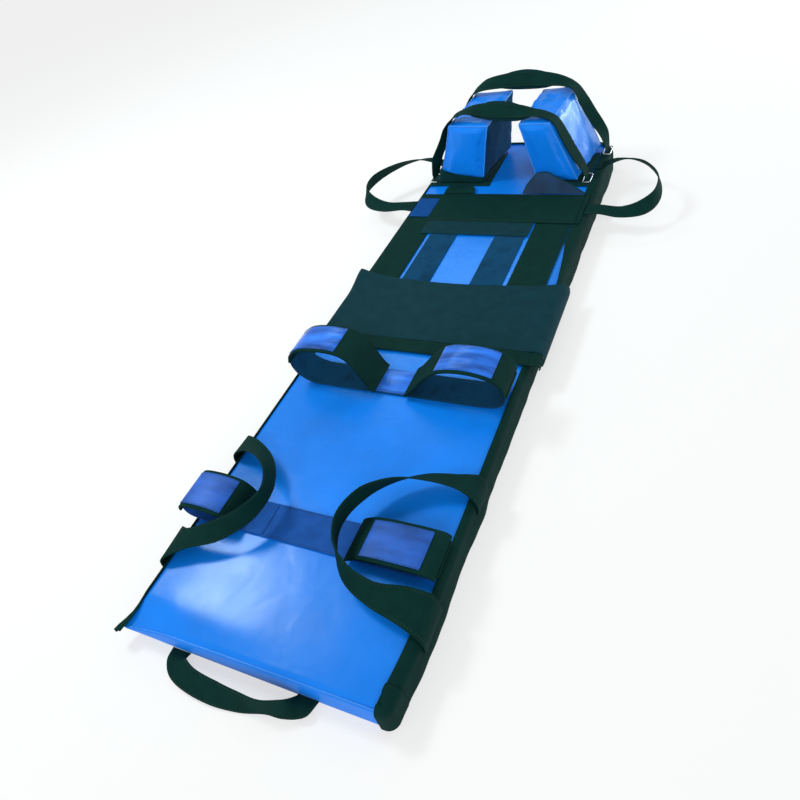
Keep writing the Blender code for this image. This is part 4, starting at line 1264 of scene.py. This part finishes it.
def handle_strip(node):
    """A loop's run. Between its sewn ends a half width is made square to it, or, where its direction is
    longer than SLANTED, it stays along the edge that the webbing crosses at a slant."""
    middles = [Vector((x, from_foot(y), z)) for x, y, z, _ in HANDLES[node]]
    halves = [Vector(direction) for *_, direction in HANDLES[node]]
    for i in range(1, len(middles) - 1):
        if halves[i].length < SLANTED:
            tangent = middles[i + 1] - middles[i - 1]
            halves[i] = (halves[i] - halves[i].project(tangent)).normalized()
    return Strip.through([(m, h * WEB_HALF) for m, h in zip(middles, halves)], 6)


def build_handles():
    for node in HANDLES:
        strip = handle_strip(node)
        stands_for(strip.piece(f"{node}_webbing", "polyester_webbing", WEB_MAKE), node)
        lift = WEB_THICK / 2 + THREAD_LIFT
        sew(f"{node}_stitches", node, [strip.line(s, side * lift) for s in WEB_SEAMS for side in (-1, 1)])
    laid("shoulder_handle_patch", "handle_patch_left", "nylon_patch_blue", 1, (-0.9, 0.9))
    for side in ("left", "right"):
        laid(f"shoulder_handle_end_{side}", f"handle_tab_{side}", "polyester_webbing", 0, (), 0.0)


# Head immobiliser


def block_place(side, a, b, c):
    """The point of a head block for a, b and c from -1 to 1: outwards, along the board and up."""
    ends = []
    for base_out, base_in, top_out, top_in in BLOCKS[side]:
        base = Vector(base_in).lerp(Vector(base_out), (a + 1) / 2)
        top = Vector(top_in).lerp(Vector(top_out), (a + 1) / 2)
        ends.append(base.lerp(top, (c + 1) / 2))
    x, z = ends[0].lerp(ends[1], (b + 1) / 2)
    low, high = (from_foot(y) for y in BLOCK_SPAN)
    return Vector((x, low + (high - low) * (b + 1) / 2, z))


def inner_reach(side, place):
    """How far a point lies from the block's inner face across the board, and which way that face looks."""
    low, high = (from_foot(y) for y in BLOCK_SPAN)
    b = 2 * (place.y - low) / (high - low) - 1
    top = block_place(side, -1, b, 1).z
    c = 2 * (place.z - BLOCK_BASE) / (top - BLOCK_BASE) - 1
    return place.x - block_place(side, -1, b, c).x, 1 if side == "left" else -1


def build_head_blocks():
    for side in ("left", "right"):
        node = f"head_block_{side}"
        bm = bmesh.new()
        bmesh.ops.create_cube(bm, size=2.0)
        bmesh.ops.subdivide_edges(bm, edges=bm.edges, cuts=7, use_grid_fill=True)
        for vert in bm.verts:
            vert.co = block_place(side, *(BLOCK_FIT * c for c in vert.co))
        bmesh.ops.recalc_face_normals(bm, faces=bm.faces)
        block = mesh_piece(f"{node}_cover", bm, "pvc_tarpaulin_blue")
        puff(block, BLOCK_CELL, BLOCK_SWELL, BLOCK_BASE)
        for vert in block.data.vertices:
            vert.co += vert.normal * WRINKLE_DEPTH * noise.noise(vert.co * WRINKLES)
            vert.co.z = max(vert.co.z, BLOCK_BASE)
        fine = block.modifiers.new("Smooth", "SUBSURF")
        fine.levels = 1
        fine.render_levels = 1
        block.data.shade_smooth()
        # Faces on the block's inner side take dark navy pile: painted shade of the gap between the blocks
        block.data.materials.append(material("loop_navy_and_painted_shade"))
        for face in block.data.polygons:
            reach, inward = inner_reach(side, face.center)
            if abs(reach) < INNER_SHADE_NEAR and face.normal.x * inward > INNER_SHADE_FACING:
                face.material_index = 1
        stands_for(block, node, f"{node}_foam")
        build_piping(block, side, node)
        laid(f"{node}_hook_tape", f"{node}_hook", "hook_tape_black", 1, (), 0.0)
        laid(f"loop_tape_{side}", f"loop_patch_{side}", "hook_tape_black", 1, (), 0.0)


def build_piping(block, side, node):
    """A welted seam along the block's edges, set on the stuffed cover."""
    tree = surface(block)
    around = ((-1, -1), (1, -1), (1, 1), (-1, 1), (-1, -1))
    runs = [[(a, b, 1) for a, b in around]]
    runs += [[(a, b, 1), (a, b, PIPING_END)] for a, b in around[:-1]]
    lines = []
    for run in runs:
        line = []
        for spot in even_points([block_place(side, *corner) for corner in run], PIPING_STEP):
            near, normal, _, _ = tree.find_nearest(spot)
            line.append(near + normal * PIPING_LIFT)
        lines.append(line)
    # The piping's lighter blue is a painted highlight along the block's edges
    goes_with(cords(f"{node}_piping", lines, PIPING_RADIUS, "pvc_piping_painted_highlight"), node)


def build_foot_band():
    """The hook tape's binding round the foot of the left head block."""
    stations = []
    for a, b, top in FOOT_BAND:
        low, high = (block_place("left", BAND_OUT * a, BAND_ALONG * b, c) for c in (BAND_FOOT, top))
        stations.append(((low + high) / 2, (high - low) / 2))
    strip = Strip.through(stations, 4)
    goes_with(strip.piece("head_block_left_foot_band", "hook_tape_black", BAND_MAKE), "head_block_left_hook")


def build_head_strap(name):
    """A strap's webbing over both blocks, and the soft pad behind it."""
    at, path, (pad_left, pad_right) = HEAD_STRAPS[name]
    stations = []
    for x, z, share, lean in path:
        angle = STRAP_TILT * share
        across = Vector((lean, math.cos(angle), math.sin(angle))).normalized()
        stations.append(((x, from_foot(at), z), across * WEB_HALF))
    strip = Strip.through(stations, 6)
    node = f"{name}_strap"
    stands_for(strip.piece(f"{node}_webbing", "polyester_webbing", WEB_MAKE), node)
    sew(f"{node}_stitches", node, strip.lines(WEB_SEAMS, WEB_THICK / 2 + THREAD_LIFT))

    behind = strip.moved(-(WEB_THICK / 2 + PAD_GAP + PAD_THICK / 2))
    chosen = [i for i, m in enumerate(behind.middles) if pad_left < m.x < pad_right]
    first, last = chosen[0], chosen[-1]
    bm = bmesh.new()
    bmesh.ops.create_uvsphere(bm, u_segments=48, v_segments=20, radius=1.0)
    for vert in bm.verts:
        along, across, out = vert.co
        position = first + (last - first) * (along + 1) / 2
        i = min(int(position), last - 1)
        middle, half, normal = (
            run[i].lerp(run[i + 1], position - i) for run in (behind.middles, behind.halves, behind.normals)
        )
        swell = math.copysign(abs(out) ** PAD_ROUND, out)
        vert.co = middle + half * across * PAD_WIDER + normal * swell * PAD_THICK / 2
    bmesh.ops.recalc_face_normals(bm, faces=bm.faces)
    pad = stands_for(mesh_piece(f"{name}_foam_pad", bm, "nylon_pack_cloth"), f"{name}_pad")


def build_rings():
    """Rectangular wire rings under the ends of the head straps, in the CAD nodes' boxes."""
    for node in [f"ring_{end}_{side}" for end in ("front", "rear") for side in ("left", "right")]:
        low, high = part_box(node)
        wire = (high.z - low.z) / 2
        reach = (high - low) / 2 - Vector((wire + RING_CORNER, wire + RING_CORNER, 0))
        ring = []
        for quarter, (sign_x, sign_y) in enumerate(((1, 1), (-1, 1), (-1, -1), (1, -1))):
            corner = (low + high) / 2 + Vector((sign_x * reach.x, sign_y * reach.y, 0))
            ring += [spot for spot, _ in round_corner(corner, RING_CORNER, 90 * quarter, 6)]
        stands_for(cords(f"{node}_wire", [ring], wire, "zinc_plated_wire", 4, closed=True), node)


# Stage


def build_floor():
    bm = bmesh.new()
    bmesh.ops.create_grid(bm, x_segments=1, y_segments=1, size=FLOOR_HALF)
    bmesh.ops.translate(bm, verts=bm.verts, vec=(0, 0, -FLOOR_BELOW))
    mesh_piece("studio_floor", bm, "matt_floor_paint")


def aimed(name, kind, place, target, energy):
    """A lamp at a place that points at a target."""
    lamp = bpy.data.lights.new(name, kind)
    lamp.energy = energy
    obj = bpy.data.objects.new(name, lamp)
    obj.location = place
    obj.rotation_euler = (Vector(target) - Vector(place)).to_track_quat("-Z", "Y").to_euler()
    bpy.context.scene.collection.objects.link(obj)
    return lamp


def window(name, place, target, energy, size, tint):
    """A rectangular lamp."""
    lamp = aimed(name, "AREA", place, target, energy)
    lamp.shape = "RECTANGLE"
    lamp.size, lamp.size_y = size
    lamp.color = tint


def mirrored_window(name, across, along, distance, energy, size, tint):
    """A rectangular lamp where the camera sees its reflection at a place on the board."""
    spot = Vector((across, from_foot(along), BOARD_TOP))
    sight = (spot - Vector(CAMERA_PLACE)).normalized()
    place = spot + Vector((sight.x, sight.y, -sight.z)) * distance
    window(name, place, spot, energy, size, tint)


def build_lamps():
    key = aimed("key_sun", "SUN", (0.7, -1.9, 1.1), (0, 0, 0), 1.3)
    key.angle = math.radians(35)
    mirrored_window("near_window", -0.125, 0.105, 3.0, 40.0, (0.75, 0.50), (0.85, 1.0, 0.97))
    mirrored_window("far_window", 0.0, 0.86, 4.0, 13.0, (1.6, 0.6), (0.62, 0.95, 0.95))
    window("side_window", (1.97, 3.15, 0.55), (0.19, 0.74, 0.16), 48.0, (1.2, 0.9), (0.75, 0.95, 1.0))


def build_world():
    world = bpy.data.worlds.new("soft_studio")
    bpy.context.scene.world = world
    world.use_nodes = True
    tree = world.node_tree
    plug(tree, tree.nodes["Background"], {"Color": (1.0, 1.0, 1.0, 1.0), "Strength": 0.55})


def build_camera():
    camera = bpy.data.cameras.new("photo_camera")
    camera.lens = CAMERA_LENS
    camera.sensor_width = CAMERA_SENSOR
    obj = bpy.data.objects.new("photo_camera", camera)
    bpy.context.scene.collection.objects.link(obj)
    heading = Matrix.Rotation(math.radians(CAMERA_HEADING), 4, "Z")
    tilt = Matrix.Rotation(math.radians(CAMERA_TILT), 4, "X")
    roll = Matrix.Rotation(math.radians(CAMERA_ROLL), 4, "Z")
    obj.matrix_world = Matrix.Translation(CAMERA_PLACE) @ heading @ tilt @ roll
    bpy.context.scene.camera = obj


class STRETCHER_OT_stage(Operator):
    """Camera, floor, lamps and world."""

    bl_idname = "stretcher.stage"
    bl_label = "Stage"

    def execute(self, context):
        context.scene.view_settings.view_transform = "Standard"
        build_camera()
        build_floor()
        build_lamps()
        build_world()
        return {"FINISHED"}


class STRETCHER_OT_board(Operator):
    """Vinyl cover, underside sheet, foam pads and core."""

    bl_idname = "stretcher.board"
    bl_label = "Board"

    def execute(self, context):
        build_cover()
        build_layers()
        return {"FINISHED"}


class STRETCHER_OT_edging(Operator):
    """Webbing folded over the board's edges."""

    bl_idname = "stretcher.edging"
    bl_label = "Edge Webbing"

    def execute(self, context):
        build_edging()
        return {"FINISHED"}


class STRETCHER_OT_torso(Operator):
    """Torso bands, loop strips, waist belt, chest belt and shoulder tabs."""

    bl_idname = "stretcher.torso"
    bl_label = "Torso Harness"

    def execute(self, context):
        build_bands()
        build_waist_belt()
        build_chest_belt()
        build_shoulder_tabs()
        return {"FINISHED"}


class STRETCHER_OT_legs(Operator):
    """Ankle and knee strips with their cuffs."""

    bl_idname = "stretcher.legs"
    bl_label = "Leg Restraints"

    def execute(self, context):
        build_leg_strips()
        build_cuffs()
        return {"FINISHED"}


class STRETCHER_OT_handles(Operator):
    """Webbing carrying loops."""

    bl_idname = "stretcher.handles"
    bl_label = "Handles"

    def execute(self, context):
        build_handles()
        return {"FINISHED"}


class STRETCHER_OT_head(Operator):
    """Head blocks, head straps and their rings."""

    bl_idname = "stretcher.head"
    bl_label = "Head Immobiliser"

    def execute(self, context):
        build_head_blocks()
        for name in HEAD_STRAPS:
            build_head_strap(name)
        build_foot_band()
        build_rings()
        return {"FINISHED"}


OPERATORS = (
    STRETCHER_OT_stage,
    STRETCHER_OT_board,
    STRETCHER_OT_edging,
    STRETCHER_OT_torso,
    STRETCHER_OT_legs,
    STRETCHER_OT_handles,
    STRETCHER_OT_head,
)


class STRETCHER_PT_looks(Panel):
    """The stretcher's operators, sizes and colours."""

    bl_label = "Rescue Stretcher"
    bl_space_type = "VIEW_3D"
    bl_region_type = "UI"
    bl_category = "Stretcher"

    def draw(self, context):
        for operator in OPERATORS:
            self.layout.operator(operator.bl_idname)
        for group in (context.scene.stretcher_sizes, context.scene.stretcher_colours):
            column = self.layout.column()
            for name in group.__annotations__:
                column.prop(group, name)


CLASSES = (StretcherColours, StretcherSizes, *OPERATORS, STRETCHER_PT_looks)


def register():
    for cls in CLASSES:
        bpy.utils.register_class(cls)
    bpy.types.Scene.stretcher_colours = PointerProperty(type=StretcherColours)
    bpy.types.Scene.stretcher_sizes = PointerProperty(type=StretcherSizes)


def unregister():
    del bpy.types.Scene.stretcher_sizes
    del bpy.types.Scene.stretcher_colours
    for cls in reversed(CLASSES):
        bpy.utils.unregister_class(cls)


def main():
    register()
    bpy.ops.stretcher.stage()
    bpy.ops.stretcher.board()
    bpy.ops.stretcher.edging()
    bpy.ops.stretcher.torso()
    bpy.ops.stretcher.legs()
    bpy.ops.stretcher.handles()
    bpy.ops.stretcher.head()


if __name__ == "__main__":
    main()
